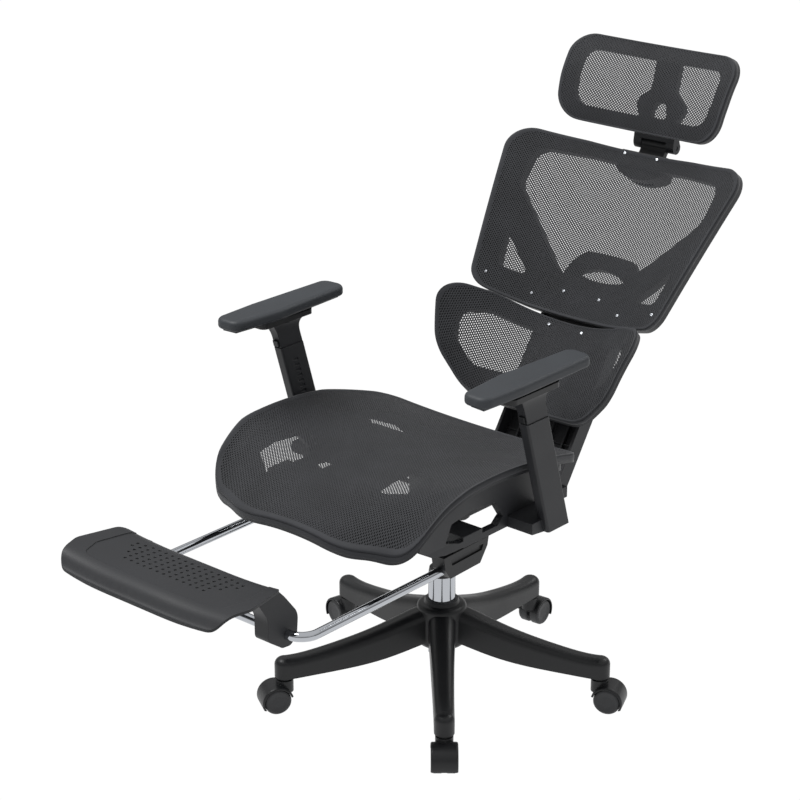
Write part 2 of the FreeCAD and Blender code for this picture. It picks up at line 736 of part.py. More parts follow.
def plate_yz(points, x_low, x_high):
    """A flat plate square to X with its corners given as (y, z)."""
    wire = Part.makePolygon([Vector(x_low, y, z) for y, z in points + points[:1]])
    return Part.Face(wire).extrude(Vector(x_high - x_low, 0, 0))


def plate_xz(points, y_low, y_high):
    """A flat plate square to Y with its corners given as (x, z)."""
    wire = Part.makePolygon([Vector(x, y_low, z) for x, z in points + points[:1]])
    return Part.Face(wire).extrude(Vector(0, y_high - y_low, 0))


def seat():
    surface = height_surface(seat_height, (-275, 275), (-410, 125), (22, 26))
    feature("seat_mesh", dished(seat_outline(0), surface, 0, val["mesh_thick"]))

    band = seat_outline(0.5).cut(seat_outline(val["ring_width"]))
    ring = dished(band, surface, val["mesh_thick"], val["ring_depth"])
    low = val["platform_low"]
    high = low + val["platform_thick"]
    out = val["beam_out"]
    front = val["platform_front"]
    rear = val["platform_rear"]
    # The pan under the mesh, open where the sub-frame leaves room, and the skirt that carries the ring.
    openings = []
    for corners in ([(-232, -236, 6), (-244, -173, 8), (-234, -115, 8), (-153, -167, 8), (-124, -219, 8),
                     (-142, -303, 8)],
                    [(-56, -243, 4), (-104, -217, 4), (-77, -118, 8), (-48, -121, 6), (-44, -181, 8)],
                    [(-192, 11, 6), (-147, 37, 8), (-52, -5, 8), (-18, -49, 6), (-98, -46, 8)]):
        opening = rounded_face(corners)
        openings += [opening, opening.mirror(Vector(0, 0, 0), Vector(1, 0, 0))]
    pan_edge = seat_outline(val["pan_inset"])
    pan = dished(pan_edge.cut(openings), surface, val["pan_drop"], val["pan_wall"])
    skirt = dished(pan_edge.cut(seat_outline(val["pan_inset"] + val["pan_wall"])), surface,
                   val["mesh_thick"] + 1, val["pan_drop"] + val["pan_wall"] - val["mesh_thick"] - 1)
    # Side beams: a plate under the ring with one window, its foot on the crossbeams.
    side = [(-330, 560), (-330, low + 31), (-296, low + 11), (-261, low + 3), (-150, low), (10, low),
            (34, low + 30), (34, 560)]
    window = [(-262, low + 25), (-254, low + 59), (-203, low + 67), (-140, low + 61), (-110, low + 24),
              (-125, low + 11), (-225, low + 13)]
    # Everything under the mesh, so that the beams end where they meet it.
    room = dished(seat_outline(3), surface, val["mesh_thick"] + 2, 150)
    pieces = [pan, skirt]
    for sign in (1, -1):
        inside = out - val["beam_thick"]
        leaning = [(sign * inside, low), (sign * out, low), (sign * out, high), (sign * (out + 20), 560),
                   (sign * (inside + 20), 560), (sign * inside, high)]
        plate = plate_xz(leaning, -340, rear + 40)
        wide = (sign * 150, sign * 300)
        plate = plate.common(plate_yz(side, min(wide), max(wide)))
        plate = plate.cut(plate_yz(window, min(wide), max(wide)))
        pieces.append(plate.common(room))
        rail = sorted((sign * val["rail_in"], sign * val["rail_out"]))
        pieces.append(flat_box(rail, (front, rear), (low, high)))
    for start in (front, rear - val["crossbeam"]):
        pieces.append(flat_box((-out, out), (start, start + val["crossbeam"]), (low, high)))
    shape = ring.fuse(pieces).removeSplitter()
    feature("seat_frame", shape)



# Arms. side is "" for the sitter's left and "-" for the right.

def at_level(level):
    """The post's axis in y at a level."""
    return f"post_foot_y - ({level} - post_low) * tan(arm_lean * 1 deg)"


def lean_points(low, high, back, front):
    """A leaning strip in (y, z) between two levels; back and front are level distances from the post's axis."""
    return [
        (f"{at_level(low)} + {back}", low),
        (f"{at_level(high)} + {back}", high),
        (f"{at_level(high)} - {front}", high),
        (f"{at_level(low)} - {front}", low),
    ]


def arm(side, word):
    at_post = f"{side}arm_x"
    half = "post_depth / 2"
    post = new_body(f"arm_upright_{word}")
    pad(post, polygon(sketch(post, "YZ_Plane", at_post), lean_points("post_low", "post_top", half, half)),
        "post_thick", midplane=True)
    inner = "(post_depth / 2 - post_wall)"
    pocket(post, polygon(sketch(post, "YZ_Plane", at_post),
                         lean_points("post_top - sleeve_length - 6", "post_top + 1", inner, inner)),
           "post_thick - post_wall * 2", midplane=True)
    foot = polygon(sketch(post, "YZ_Plane", f"{side}(beam_out + arm_x) / 2"), [
        ("post_foot_y - 62", "post_low + 4"),
        ("post_foot_y - 30", "post_low"),
        ("post_foot_y + 16", "post_low"),
        ("post_foot_y + 16", "post_low + 24"),
        ("post_foot_y - 62", "post_low + 24"),
    ])
    pad(post, foot, "arm_x - beam_out", midplane=True)
    round_edges(post, "4", lambda edge: isinstance(edge.Curve, Part.Line) and edge.Length > 180)
    inner_face = f"{side}(arm_x - post_thick / 2)"
    for notch in range(int(size("notch_count"))):
        level = f"post_top - 26 - {notch} * notch_pitch"
        slot = polygon(sketch(post, "YZ_Plane", inner_face), lean_points(f"{level} - 5", level, "5", "8"))
        pocket(post, slot, "3", midplane=True)

    sleeve = new_body(f"arm_sleeve_{word}")
    blade = f"({inner} - gap)"
    pad(sleeve, polygon(sketch(sleeve, "YZ_Plane", at_post),
                        lean_points("post_top - sleeve_length", "post_top + 4", blade, blade)),
        "post_thick - post_wall * 2 - gap * 2", midplane=True)
    neck = f"({half} - 2)"
    # The neck flares smoothly into the head that carries the plate.
    flare = []
    for level, thick, front, back in (
            ("post_top + gap", "post_thick / 2 - 1.5", neck, neck),
            ("post_top + 22", "post_thick / 2 - 1.5", neck, neck),
            ("plate_top - 24", "post_thick / 2", f"({neck} + 3)", f"({neck} + 2)"),
            ("plate_top - 10", "post_thick / 2 + 8", f"({neck} + 16)", f"({neck} + 14)")):
        middle = at_level(level)
        flare.append(rectangle(sketch(sleeve, "XY_Plane", level), f"{at_post} - ({thick})", f"{middle} - {front}",
                               f"{at_post} + {thick}", f"{middle} + {back}"))
    loft(sleeve, flare)
    neck_y = at_level("plate_top")
    tongue = rectangle(sketch(sleeve, "XY_Plane", "plate_top - 10"), f"{at_post} - 8", f"{neck_y} - 30",
                       f"{at_post} + 8", f"{neck_y} + 30")
    pad(sleeve, tongue, "4")
    room = polygon(sketch(sleeve, "YZ_Plane", at_post),
                   lean_points("post_top + 3", "post_top + 15", f"(4.5 - {neck})", f"({neck} + 2)"))
    pocket(sleeve, room, "12", midplane=True)

    trigger = new_body(f"arm_trigger_{word}")
    button = polygon(sketch(trigger, "YZ_Plane", at_post),
                     lean_points("post_top + 3 + gap", "post_top + 15 - gap", f"(1 - {neck})", f"({neck} + 4)"))
    pad(trigger, button, "12 - gap * 2", midplane=True)

    plate = new_body(f"arm_plate_{word}")
    pad(plate, rectangle(sketch(plate, "XY_Plane", "plate_top - 10 + gap"), f"{at_post} - 22", f"{neck_y} - 66",
                         f"{at_post} + 22", f"{neck_y} + 64"), "10 - gap")
    round_edges(plate, "12", runs_along("z"))
    slot = rectangle(sketch(plate, "XY_Plane", "plate_top - 10"), f"{at_post} - 8 - gap", f"{neck_y} - 52",
                     f"{at_post} + 8 + gap", f"{neck_y} + 52")
    pocket(plate, slot, "4 + gap", flip=True)
    pad(plate, circle(sketch(plate, "XY_Plane", "plate_top"), at_post, neck_y, "pin_radius"), "10")

    # The pad: a rounded slab with a narrower foot that meets the plate.
    top = new_body(f"arm_pad_{word}")
    bottom = "plate_top + gap"
    rim_low = "pad_top - pad_thick"

    def pad_outline(level, inset):
        corners = [(f"pad_in + 9 + {inset}", f"pad_front + 3 + {inset}"), (f"pad_out - 5 - {inset}", f"pad_front + {inset}"),
                   (f"pad_out - {inset}", "pad_front + 96"), (f"pad_out - 3 - {inset}", f"pad_rear - 4 - {inset}"),
                   (f"pad_in + 9 + {inset}", f"pad_rear - {inset}"), (f"pad_in + {inset}", "pad_front + 108")]
        return polygon(sketch(top, "XY_Plane", level), [(f"{side}({x})", y) for x, y in corners])

    pad(top, pad_outline(rim_low, "0"), "pad_thick")
    at_corner = lambda edge: runs_along("z")(edge) and not 60 < edge.Vertexes[0].Y - val["pad_front"] < 130
    round_edges(top, "20", at_corner)
    round_edges(top, "8", lambda edge: edge.BoundBox.ZMin > val["pad_top"] - 0.5)
    round_edges(top, "5", lambda edge: edge.BoundBox.ZMax < size(rim_low) + 0.1)
    pad(top, pad_outline(bottom, "12"), f"pad_top - 9 - ({bottom})")
    pocket(top, circle(sketch(top, "XY_Plane", bottom), at_post, neck_y, "pin_radius + running"), "11", flip=True)


# Footrest

def footrest():
    for side, word in (("", "left"), ("-", "right")):
        rail = new_body(f"rail_housing_{word}")
        profile = polygon(sketch(rail, "YZ_Plane", f"{side}rail_x"), [
            ("rail_front", "tube_z + 30"),
            ("rail_front + 4", "tube_z + 6"),
            ("rail_front + 18", "tube_z - 13"),
            ("rail_rear - 22", "tube_z - 11"),
            ("rail_rear - 3", "tube_z + 16"),
            ("rail_rear", "tube_z + 32"),
        ])
        pad(rail, profile, "rail_half * 2", midplane=True)
        block = rectangle(sketch(rail, "YZ_Plane", f"{side}rail_x"), "platform_front", "tube_z + 24",
                          "platform_front + crossbeam", "platform_low")
        pad(rail, block, "rail_half * 2 - 4", midplane=True)
        bore = circle(sketch(rail, "XZ_Plane"), f"{side}rail_x", "tube_z", "tube_radius + running")
        pocket(rail, bore, "-rail_front + 20", flip=True)
        for sign in ("", "-"):
            slot = polygon(sketch(rail, "YZ_Plane", f"{side}rail_x + {sign}rail_half"), [
                ("rail_front + 16", "tube_z + 22"),
                ("rail_front + 22", "tube_z + 10"),
                ("rail_rear - 18", "tube_z + 12"),
                ("rail_rear - 14", "tube_z + 22"),
            ])
            pocket(rail, slot, "6", midplane=True)

    tube = new_body("footrest_tube")
    path = sketch(tube, "XY_Plane", "tube_z")
    x = size("rail_x")
    front = size("bar_y")
    rear = size("tube_rear")
    bend = size("tube_bend")
    path.addGeometry(Part.LineSegment(Vector(x, rear, 0), Vector(x, front + bend, 0)))
    path.addGeometry(Part.ArcOfCircle(Part.Circle(Vector(x - bend, front + bend, 0), Vector(0, 0, 1), bend),
                                      -math.pi / 2, 0))
    path.addGeometry(Part.LineSegment(Vector(x - bend, front, 0), Vector(bend - x, front, 0)))
    path.addGeometry(Part.ArcOfCircle(Part.Circle(Vector(bend - x, front + bend, 0), Vector(0, 0, 1), bend),
                                      math.pi, math.pi * 1.5))
    path.addGeometry(Part.LineSegment(Vector(-x, front + bend, 0), Vector(-x, rear, 0)))
    for one, one_end, other, other_end in ((0, 2, 1, 2), (1, 1, 2, 1), (2, 2, 3, 2), (3, 1, 4, 1)):
        path.addConstraint(Sketcher.Constraint("Tangent", one, one_end, other, other_end))
    path.addConstraint(Sketcher.Constraint("Equal", 1, 3))
    fix_point(path, 0, 1, "rail_x", "tube_rear")
    fix_point(path, 4, 2, "-rail_x", "tube_rear")
    path.addConstraint(Sketcher.Constraint("Vertical", 0))
    path.addConstraint(Sketcher.Constraint("Vertical", 4))
    number = path.addConstraint(Sketcher.Constraint("DistanceY", 2, 1, front))
    path.setExpression(f"Constraints[{number}]", link("bar_y"))
    number = path.addConstraint(Sketcher.Constraint("Radius", 1, bend))
    path.setExpression(f"Constraints[{number}]", link("tube_bend"))
    section = circle(sketch(tube, "XZ_Plane", "-tube_rear"), "rail_x", "tube_z", "tube_radius")
    circle(section, "rail_x", "tube_z", "tube_radius - tube_wall")
    sweep = tube.newObject("PartDesign::AdditivePipe", "footrest_tube_sweep")
    sweep.Profile = section
    sweep.Spine = (path, [])
    doc.recompute()

    tray()


def tray_height(x, y):
    """Top of the tray: a shallow dish with raised wings and a front edge that rolls down."""
    wing = 9 * (max(abs(x) - 60, 0) / (val["tray_half"] - 60)) ** 2
    roll = 20 * (max(val["tray_front"] + 36 - y, 0) / 36) ** 2
    lip = 5 * (max(y - val["tray_rear"] + 20, 0) / 20) ** 2
    return val["tray_z"] - 6 + wing - roll - lip


def tray_outline(inset):
    """The tray's plan, drawn in by an inset."""
    half = val["tray_half"] - inset
    front = val["tray_front"] + inset
    rear = val["tray_rear"] - inset
    return rounded_face(mirrored([
        (half * 0.5, front - 5, 400),
        (half - 16, front + 2, 34 - inset * 0.6),
        (half + 2, front + 60 - inset, 30),
        (half - 18, rear, 24 - inset * 0.5),
    ]))


def rounded_plate_yz(points, x_low, x_high):
    """A flat plate square to X through (y, z, corner radius) points."""
    face = rounded_face(points)
    face.rotate(Vector(0, 0, 0), Vector(1, 1, 1), 120)
    return face.translated(Vector(x_low, 0, 0)).extrude(Vector(x_high - x_low, 0, 0))


def tray():
    half = val["tray_half"]
    front = val["tray_front"]
    rear = val["tray_rear"]
    thick = val["tray_thick"]
    surface = height_surface(tray_height, (-half - 15, half + 15), (front - 15, rear + 15), (12, 12))
    outline = tray_outline(0)
    shell = dished(outline, surface, 0, thick)
    # The inner panel lies a step lower. Its rim keeps to the front and the sides.
    inner = rounded_face(mirrored([
        (half - val["tray_rim"] - 16, front + val["tray_rim"] + 10, 20),
        (half - val["tray_rim"] - 4, front + val["tray_rim"] + 50, 24),
        (half - val["tray_rim"] - 24, rear + 30, 8),
    ]))
    shell = shell.cut(dished(inner, surface, -5, 5 + val["tray_recess"]))
    bar = val["bar_y"]
    z = val["tube_z"]
    hook = [(bar - 5, z + 68, 34), (bar + 25, z + 30, 30), (bar + 22, z - 6, 12), (bar + 8, z - 22, 12),
            (bar - 12, z - 20, 12), (bar - 43, z + 2, 12), (bar - 43, z + 42, 30), (bar - 64, z + 76, 34),
            (bar - 118, z + 93, 6), (bar - 110, z + 112, 6), (bar - 46, z + 112, 10)]
    under = dished(outline, surface, thick - 1, 150)
    over = dished(tray_outline(-12), surface, -60, 59 + thick)
    pieces = []
    for sign in (1, -1):
        ends = sorted((sign * val["hook_out"], sign * (val["hook_out"] - val["hook_width"])))
        plate = rounded_plate_yz(hook, *ends).cut(over)
        pieces.append(max(plate.Solids, key=lambda solid: solid.Volume))
    for x in (-100, 0, 100):
        rib = flat_box((x - 1.5, x + 1.5), (front + 40, rear - 10), (val["tray_z"] - 20, val["tray_z"] + 20))
        pieces.append(rib.common(under))
    shell = shell.fuse(pieces)
    # Slanted columns of small holes, shorter towards both ends of the field.
    columns = int(val["hole_columns"])
    rows = int(val["hole_rows"])
    holes = []
    for column in range(columns):
        x = (column - (columns - 1) / 2) * val["hole_pitch"]
        count = min(rows, 2 + 2 * column, 2 + 2 * (columns - 1 - column))
        for row in range(count):
            y = rear - 22 - (rows - count) / 2 * 3 - row * val["hole_step"]
            drill = Part.makeCylinder(val["hole_size"], 60, Vector(x - row * 1.5, y, val["tray_z"] - 40))
            holes.append(drill)
    bore = Part.makeCylinder(val["tube_radius"] + val["running"], half * 2, Vector(-half, bar, z), Vector(1, 0, 0))
    shape = shell.cut(holes + [bore]).removeSplitter()
    feature("footrest_tray", shape)


# Back. Its panels are drawn flat, X across and Y up the lean, then leaned back.

def leaned(piece, y, z, lean):
    place(piece, "0", y, z, Vector(1, 0, 0), f"90 - {lean}")


def back_mesh_height(x, s):
    """Front of the back's mesh, forward of the reference plane."""
    return -(46 + 0.05 * s - (0.00138 - 0.00000167 * s) * x * x)


def back_outline(inset):
    low = val["back_low_half"] - inset
    high = val["back_top_half"] - inset
    top = val["back_height"] - inset
    drop = val["back_drop"] - inset
    return rounded_face(mirrored([
        (low * 0.47, -drop, 300),
        (low, 8 - drop, 40),
        (high, top - 8, 48),
        (high * 0.44, top, 300),
    ]))


def panel_box(x_range, s_range, back_range):
    """A box in a panel's own axes; back_range is measured rearward."""
    return flat_box(x_range, s_range, (-back_range[1], -back_range[0]))


def panel_plate(points, x_low, x_high):
    """A plate square to X in a panel's own axes, its corners as (up the lean, rearward)."""
    wire = Part.makePolygon([Vector(x_low, s, -o) for s, o in points + points[:1]])
    return Part.Face(wire).extrude(Vector(x_high - x_low, 0, 0))


def panel_axle(radius, x_low, x_high, spot):
    """A cylinder along X in a panel's own axes."""
    return Part.makeCylinder(radius, x_high - x_low, Vector(x_low, spot[0], -spot[1]), Vector(1, 0, 0))


def in_panel(y, z, lean):
    """How far a point lies up a leaning panel and behind it, from the panel's origin."""
    angle = math.radians(lean)
    return (y * math.sin(angle) + z * math.cos(angle), y * math.cos(angle) - z * math.sin(angle))


def arched(x, low, high, sagitta):
    """A flat face between two heights whose upper edge is an arc that rises by sagitta."""
    arc = Part.Arc(Vector(x, high, 0), Vector(0, high + sagitta, 0), Vector(-x, high, 0)).toShape()
    sides = Part.makePolygon([Vector(-x, high, 0), Vector(-x, low, 0), Vector(x, low, 0), Vector(x, high, 0)])
    return Part.Face(Part.Wire([arc] + sides.Edges))


def from_back(y, z):
    """A point of the chair's mid-plane in the back's own axes."""
    return in_panel(y - val["back_y"], z - val["back_z"], val["back_lean"])


def back():
    surface = height_surface(back_mesh_height, (-290, 290), (-35, 345), (14, 6))
    mesh = feature("back_mesh", dished(back_outline(0), surface, 0, val["mesh_thick"]))
    band = val["back_band"]
    top = val["back_height"]
    high = val["back_top_half"]
    low = val["back_low_half"]
    # One large window between the rails, and a small one in each lower corner.
    large = rounded_face(mirrored([
        (low * 0.33, 62, 14),
        (high - band - 21, top * 0.63, 45),
        (high - band - 20, top - band, 30),
        (high * 0.4, top - band + 12, 300),
    ]))
    small = rounded_face([
        (low * 0.57, 37, 5),
        (low - band * 0.8, 37, 16),
        (low - band * 0.45, 112, 5),
    ])
    windows = [large, small, small.mirror(Vector(0, 0, 0), Vector(1, 0, 0))]
    flat = back_outline(0.5).cut(windows)
    shape = dished(flat, surface, val["mesh_thick"], val["frame_depth"])
    frame = feature("back_frame", shape)

    half = val["spine_half"]
    wall = val["spine_wall"]
    face = val["spine_face"]
    rear = val["spine_back"]
    inner = half - wall
    foot = val["spine_low"]
    crown = val["spine_top"]
    # The spine narrows to its head, which thins rearward and has a lens-shaped hole.
    outline = rounded_face(mirrored([
        (half, foot, 6),
        (half, crown - 70, 30),
        (half - 12, crown - 26, 22),
        (half - 34, crown - 2, 14),
        (10, crown, 300),
    ]))
    block = outline.translated(Vector(0, 0, -rear)).extrude(Vector(0, 0, rear - face))
    channel_top = crown - 70
    channel = panel_box((-inner, inner), (foot + 40, channel_top), (face - 1, rear - wall))
    wedge = panel_plate([(channel_top - 10, face - 1), (channel_top - 2, face + 12), (crown + 2, rear - wall * 2),
                         (crown + 2, face - 1)], -half - 1, half + 1)
    lens = Part.makeCylinder(99, 60, Vector(0, crown - 131, -rear - 2)).common(
        Part.makeCylinder(151, 60, Vector(0, crown + 93, -rear - 2)))
    ribs = [panel_box((x - 2, x + 2), (foot + 60, -105), (rear - wall - 9, rear - wall)) for x in (-52, -18, 18, 52)]
    ribs += [panel_box((-inner, inner), (s - 1.5, s + 1.5), (rear - wall - 6, rear - wall))
             for s in (foot + 100, foot + 140, foot + 180)]
    block = block.cut([channel, wedge, lens]).fuse(ribs)
    # The bar forward to the recline pin, as a fork that straddles the housing.
    eye = from_back(val["pivot_y"], val["pivot_z"])
    middle = (face + rear) / 2
    top_of_bar = from_back(val["pivot_y"] + 6, val["pivot_z"] + val["eye_radius"] - 1)
    low_of_bar = from_back(val["pivot_y"] - 2, val["pivot_z"] - val["eye_radius"] + 0.5)
    elbow = [(foot + 46, face), (foot + 46, rear), (foot - 2, rear), (foot - 18, rear - 10), (foot - 24, middle - 20)]
    tine_in = val["housing_half"] + val["tine_gap"]
    tine_out = tine_in + val["tine_thick"]
    pieces = [panel_plate(elbow + [(foot + 6, middle - 34)], -tine_in - 1, tine_in + 1)]
    for sign in (1, -1):
        ends = sorted((sign * tine_in, sign * tine_out))
        pieces.append(panel_plate([top_of_bar] + elbow + [low_of_bar], *ends))
        pieces.append(panel_axle(val["eye_radius"], *ends, eye))
    pin_hole = panel_axle(val["pin_radius"] + val["running"], -tine_out - 5, tine_out + 5, eye)
    spine = feature("back_spine", block.fuse(pieces).cut(pin_hole).removeSplitter())

    gap = val["gap"]
    lower_part = panel_box((gap - inner, inner - gap), (-60, 0), (face + 4, rear - wall - gap))
    carriage_top = channel_top - val["back_travel"] - gap
    upper_part = panel_box((gap - inner, inner - gap), (-18, carriage_top), (face - 16, rear - wall - gap))
    carriage_shape = upper_part.fuse(lower_part).cut(shape).removeSplitter()
    carriage = feature("back_carriage", max(carriage_shape.Solids, key=lambda s: s.Volume))

    # Lumbar support: a bracket on the carriage, a pin across it and the panel that rocks on the pin.
    pin = from_back(val["lumbar_pin_y"], val["lumbar_pin_z"])
    radius = val["lumbar_pin_radius"]
    bracket_half = val["lumbar_bracket_half"]
    bar = panel_plate([(-60, face - 6), (-60, rear - 14), (-78, rear - 14), (pin[0] - 8, pin[1] + 14),
                       (pin[0] - 9, pin[1] - 2), (pin[0], pin[1] - 9), (pin[0] + 9, pin[1] - 2), (-74, face - 6)],
                      -bracket_half, bracket_half)
    bracket = feature("lumbar_bracket", bar.cut(panel_axle(radius, -50, 50, pin)))
    pin_half = bracket_half + val["lumbar_ear"] + 2
    pin_piece = feature("lumbar_pin", panel_axle(radius, -pin_half, pin_half, pin))

    # The headrest's guide behind the top rail, with an arched foot.
    mesh_back = -back_mesh_height(0, top) + val["mesh_thick"]
    stalk = val["stalk_half"]
    stalk_front = val["stalk_front"]
    stalk_back = stalk_front + val["stalk_thick"]
    guide = arched(stalk + 24, -(top + 4), 12 - top + val["stalk_overlap"] - 18, 16)
    guide = guide.mirror(Vector(0, 0, 0), Vector(0, 1, 0)).translated(Vector(0, 0, -stalk_back - 10))
    guide = guide.extrude(Vector(0, 0, stalk_back + 10 - mesh_back - 6))
    guide = guide.cut([shape, panel_box((-stalk - gap, stalk + gap), (0, top * 2), (stalk_front - gap,
                                                                                  stalk_back + gap))])
    holder = feature("headrest_holder", max(guide.Solids, key=lambda s: s.Volume))

    knuckle = (top + val["knuckle_rise"], val["knuckle_back"])
    plate = panel_box((-stalk, stalk), (top - val["stalk_overlap"], knuckle[0] - 12), (stalk_front, stalk_back))
    barrel = panel_axle(val["knuckle_radius"], -stalk, stalk, knuckle)
    neck = panel_plate([(knuckle[0] - 14, stalk_front), (knuckle[0] - 14, stalk_back), (knuckle[0], stalk_back + 2),
                        (knuckle[0], stalk_front - 3)], -stalk, stalk)
    stem = plate.fuse([barrel, neck]).removeSplitter()
    stem = stem.fuse(panel_axle(val["headrest_pin"], -val["knuckle_half"], val["knuckle_half"], knuckle))
    stem_piece = feature("headrest_stem", stem)
    for piece in (mesh, frame, spine, carriage, bracket, pin_piece, holder, stem_piece):
        leaned(piece, "back_y", "back_z", "back_lean")


def lumbar_mesh_height(x, s):
    return (0.0003 + 0.0019 * (1 - math.exp(-max(s, -20) / 45))) * x * x


def lumbar():
    half = val["lumbar_half"]
    height = val["lumbar_height"]
    surface = height_surface(lumbar_mesh_height, (-half - 15, half + 15), (-15, height + 15), (14, 8))

    def outline(inset):
        return rounded_face(mirrored([
            (half * 0.57 - inset, 2 + inset, 80),
            (half * 0.85 - inset, 50, 70),
            (half - inset, 168, 50 - inset * 0.3),
            (half * 0.63, height + 2 - inset, 120),
        ]))

    mesh = feature("lumbar_mesh", dished(outline(0), surface, 0, val["mesh_thick"]))
    window = rounded_face([(48, 62, 10), (132, 48, 30), (178, 80, 30), (192, 132, 24), (150, 158, 24),
                           (62, 162, 10)])
    flat = outline(0.5).cut([window, window.mirror(Vector(0, 0, 0), Vector(1, 0, 0))])
    shape = dished(flat, surface, val["mesh_thick"], val["frame_depth"] - 4)
    # Two ears on the pin, one on each side of the bracket, which stays clear of the panel's rear.
    pin = in_panel(val["lumbar_pin_y"] - val["lumbar_y"], val["lumbar_pin_z"] - val["lumbar_z"], val["lumbar_lean"])
    ear_in = val["lumbar_bracket_half"] + 1
    ears = []
    for sign in (1, -1):
        ends = sorted((sign * ear_in, sign * (ear_in + val["lumbar_ear"])))
        ears.append(panel_plate([(pin[0] - 22, 10), (pin[0] + 22, 10), (pin[0] + 11, pin[1] + 5), (pin[0], pin[1] + 11),
                                 (pin[0] - 11, pin[1] + 5)], *ends))
    room = panel_axle(val["lumbar_bracket_half"], 0.5 - ear_in, ear_in - 0.5, pin)
    bore = panel_axle(val["lumbar_pin_radius"] + val["running"], -60, 60, pin)
    shape = shape.fuse(ears).cut([room, bore]).removeSplitter()
    frame = feature("lumbar_frame", shape)
    for piece in (mesh, frame):
        leaned(piece, "lumbar_y", "lumbar_z", "lumbar_lean")


def head_mesh_height(x, s):
    return -(22 * ((s - 60) / 100) ** 2 - 10 - 0.0004 * x * x)


def headrest():
    half = val["head_half"]
    height = val["head_height"]
    surface = height_surface(head_mesh_height, (-half - 15, half + 15), (-15, height + 15), (10, 10))

    def outline(inset, corner):
        return rounded_face(mirrored([
            (half * 0.94 - inset, inset, 50 - corner),
            (half - 4 - inset, 78, 120),
            (half * 0.99 - inset, height - inset, 44 - corner),
        ]))

    mesh = feature("headrest_mesh", dished(outline(0, 0), surface, 0, val["mesh_thick"]))
    flat = outline(0.5, 0).cut(outline(val["head_band"], 20))
    shape = dished(flat, surface, val["mesh_thick"], val["frame_depth"] - 4)
    frame = feature("headrest_frame", shape)

    # The bracket: ears on the knuckle's pin, shoulders drawn in to them and a strip up to the top rail.
    knuckle = in_panel(val["head_forward"], -val["head_above"], val["head_lean"])
    reach = val["knuckle_half"]
    inner = val["stalk_half"] + val["gap"]
    yoke = rounded_face(mirrored([
        (reach + 1, knuckle[0] + 6, 4),
        (reach - 4, 30, 24),
        (reach + 12, 62, 16),
        (27, 90, 8),
        (27, height - 12, 6),
    ]))
    slot = rounded_face(mirrored([(20, 36, 8), (12, 66, 10)]))
    yoke = yoke.cut(slot).translated(Vector(0, 0, -120)).extrude(Vector(0, 0, 120))
    side = panel_plate([(knuckle[0] + 6, knuckle[1] - 16), (knuckle[0] + 6, knuckle[1] + 2), (knuckle[0] + 22, 74),
                        (88, 68), (height - 16, 60), (height - 8, 40), (height - 10, 22), (height - 24, 22),
                        (height - 24, 48), (90, 54), (knuckle[0] + 20, 60)], -half, half)
    ears = []
    for sign in (1, -1):
        ends = sorted((sign * inner, sign * (reach + 1)))
        ears.append(panel_plate([(knuckle[0] - 4, knuckle[1] - 12), (knuckle[0] + 18, 60), (knuckle[0] + 20, 76),
                                 (knuckle[0] + 8, knuckle[1] + 8)], *ends))
        ears.append(panel_axle(val["knuckle_radius"] + 1, *ends, knuckle))
    hole = panel_axle(val["headrest_pin"] + val["running"], -reach - 10, reach + 10, knuckle)
    clear = panel_axle(val["knuckle_radius"] + 3, -inner, inner, knuckle)
    body = yoke.common(side).fuse(ears).cut([hole, clear, shape]).removeSplitter()
    bracket = feature("headrest_bracket", max(body.Solids, key=lambda s: s.Volume))
    # The headrest stands on the knuckle, which the back's height and lean carry.
    rise = "(back_height + knuckle_rise)"
    y = f"back_y + {rise} * sin(back_lean * 1 deg) + knuckle_back * cos(back_lean * 1 deg) - head_forward"
    z = f"back_z + {rise} * cos(back_lean * 1 deg) - knuckle_back * sin(back_lean * 1 deg) + head_above"
    for piece in (mesh, frame, bracket):
        leaned(piece, y, z, "head_lean")


star_base()
for number in range(1, int(size("leg_count")) + 1):
    caster(number)
gas_lift()
mechanism()
seat()

arm("", "left")
arm("-", "right")
footrest()
back()
lumbar()
headrest()


def check_and_write():
    doc.recompute()
    for item in doc.Objects:
        if "Invalid" in item.State or "Error" in item.State:
            raise RuntimeError(f"{item.Name} did not recompute: {item.State}")
    os.makedirs("parts", exist_ok=True)
    for piece in parts:
        shape = piece.Shape
        if shape.isNull() or not shape.isValid() or len(shape.Solids) != 1:
            raise RuntimeError(f"{piece.Label} is not one valid solid")
        shape.exportStep(f"parts/{piece.Label}.step")


check_and_write()
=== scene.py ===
import math

import bmesh
import bpy
from bpy.props import FloatProperty, PointerProperty, StringProperty
from mathutils import Matrix, Vector
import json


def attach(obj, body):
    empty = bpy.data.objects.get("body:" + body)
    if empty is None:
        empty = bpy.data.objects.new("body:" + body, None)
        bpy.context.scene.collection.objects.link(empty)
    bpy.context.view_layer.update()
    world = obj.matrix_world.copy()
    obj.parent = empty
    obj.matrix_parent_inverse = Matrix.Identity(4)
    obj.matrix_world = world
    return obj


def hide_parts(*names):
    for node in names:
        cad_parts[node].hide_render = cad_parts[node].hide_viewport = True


bl_info = {
    "name": "Reclining office chair",
    "version": (1, 0, 0),
    "blender": (4, 5, 0),
    "location": "View3D > Sidebar > Chair",
    "description": "Woven skins, finishes and small fittings on the reclining office chair",
    "category": "Object",
}

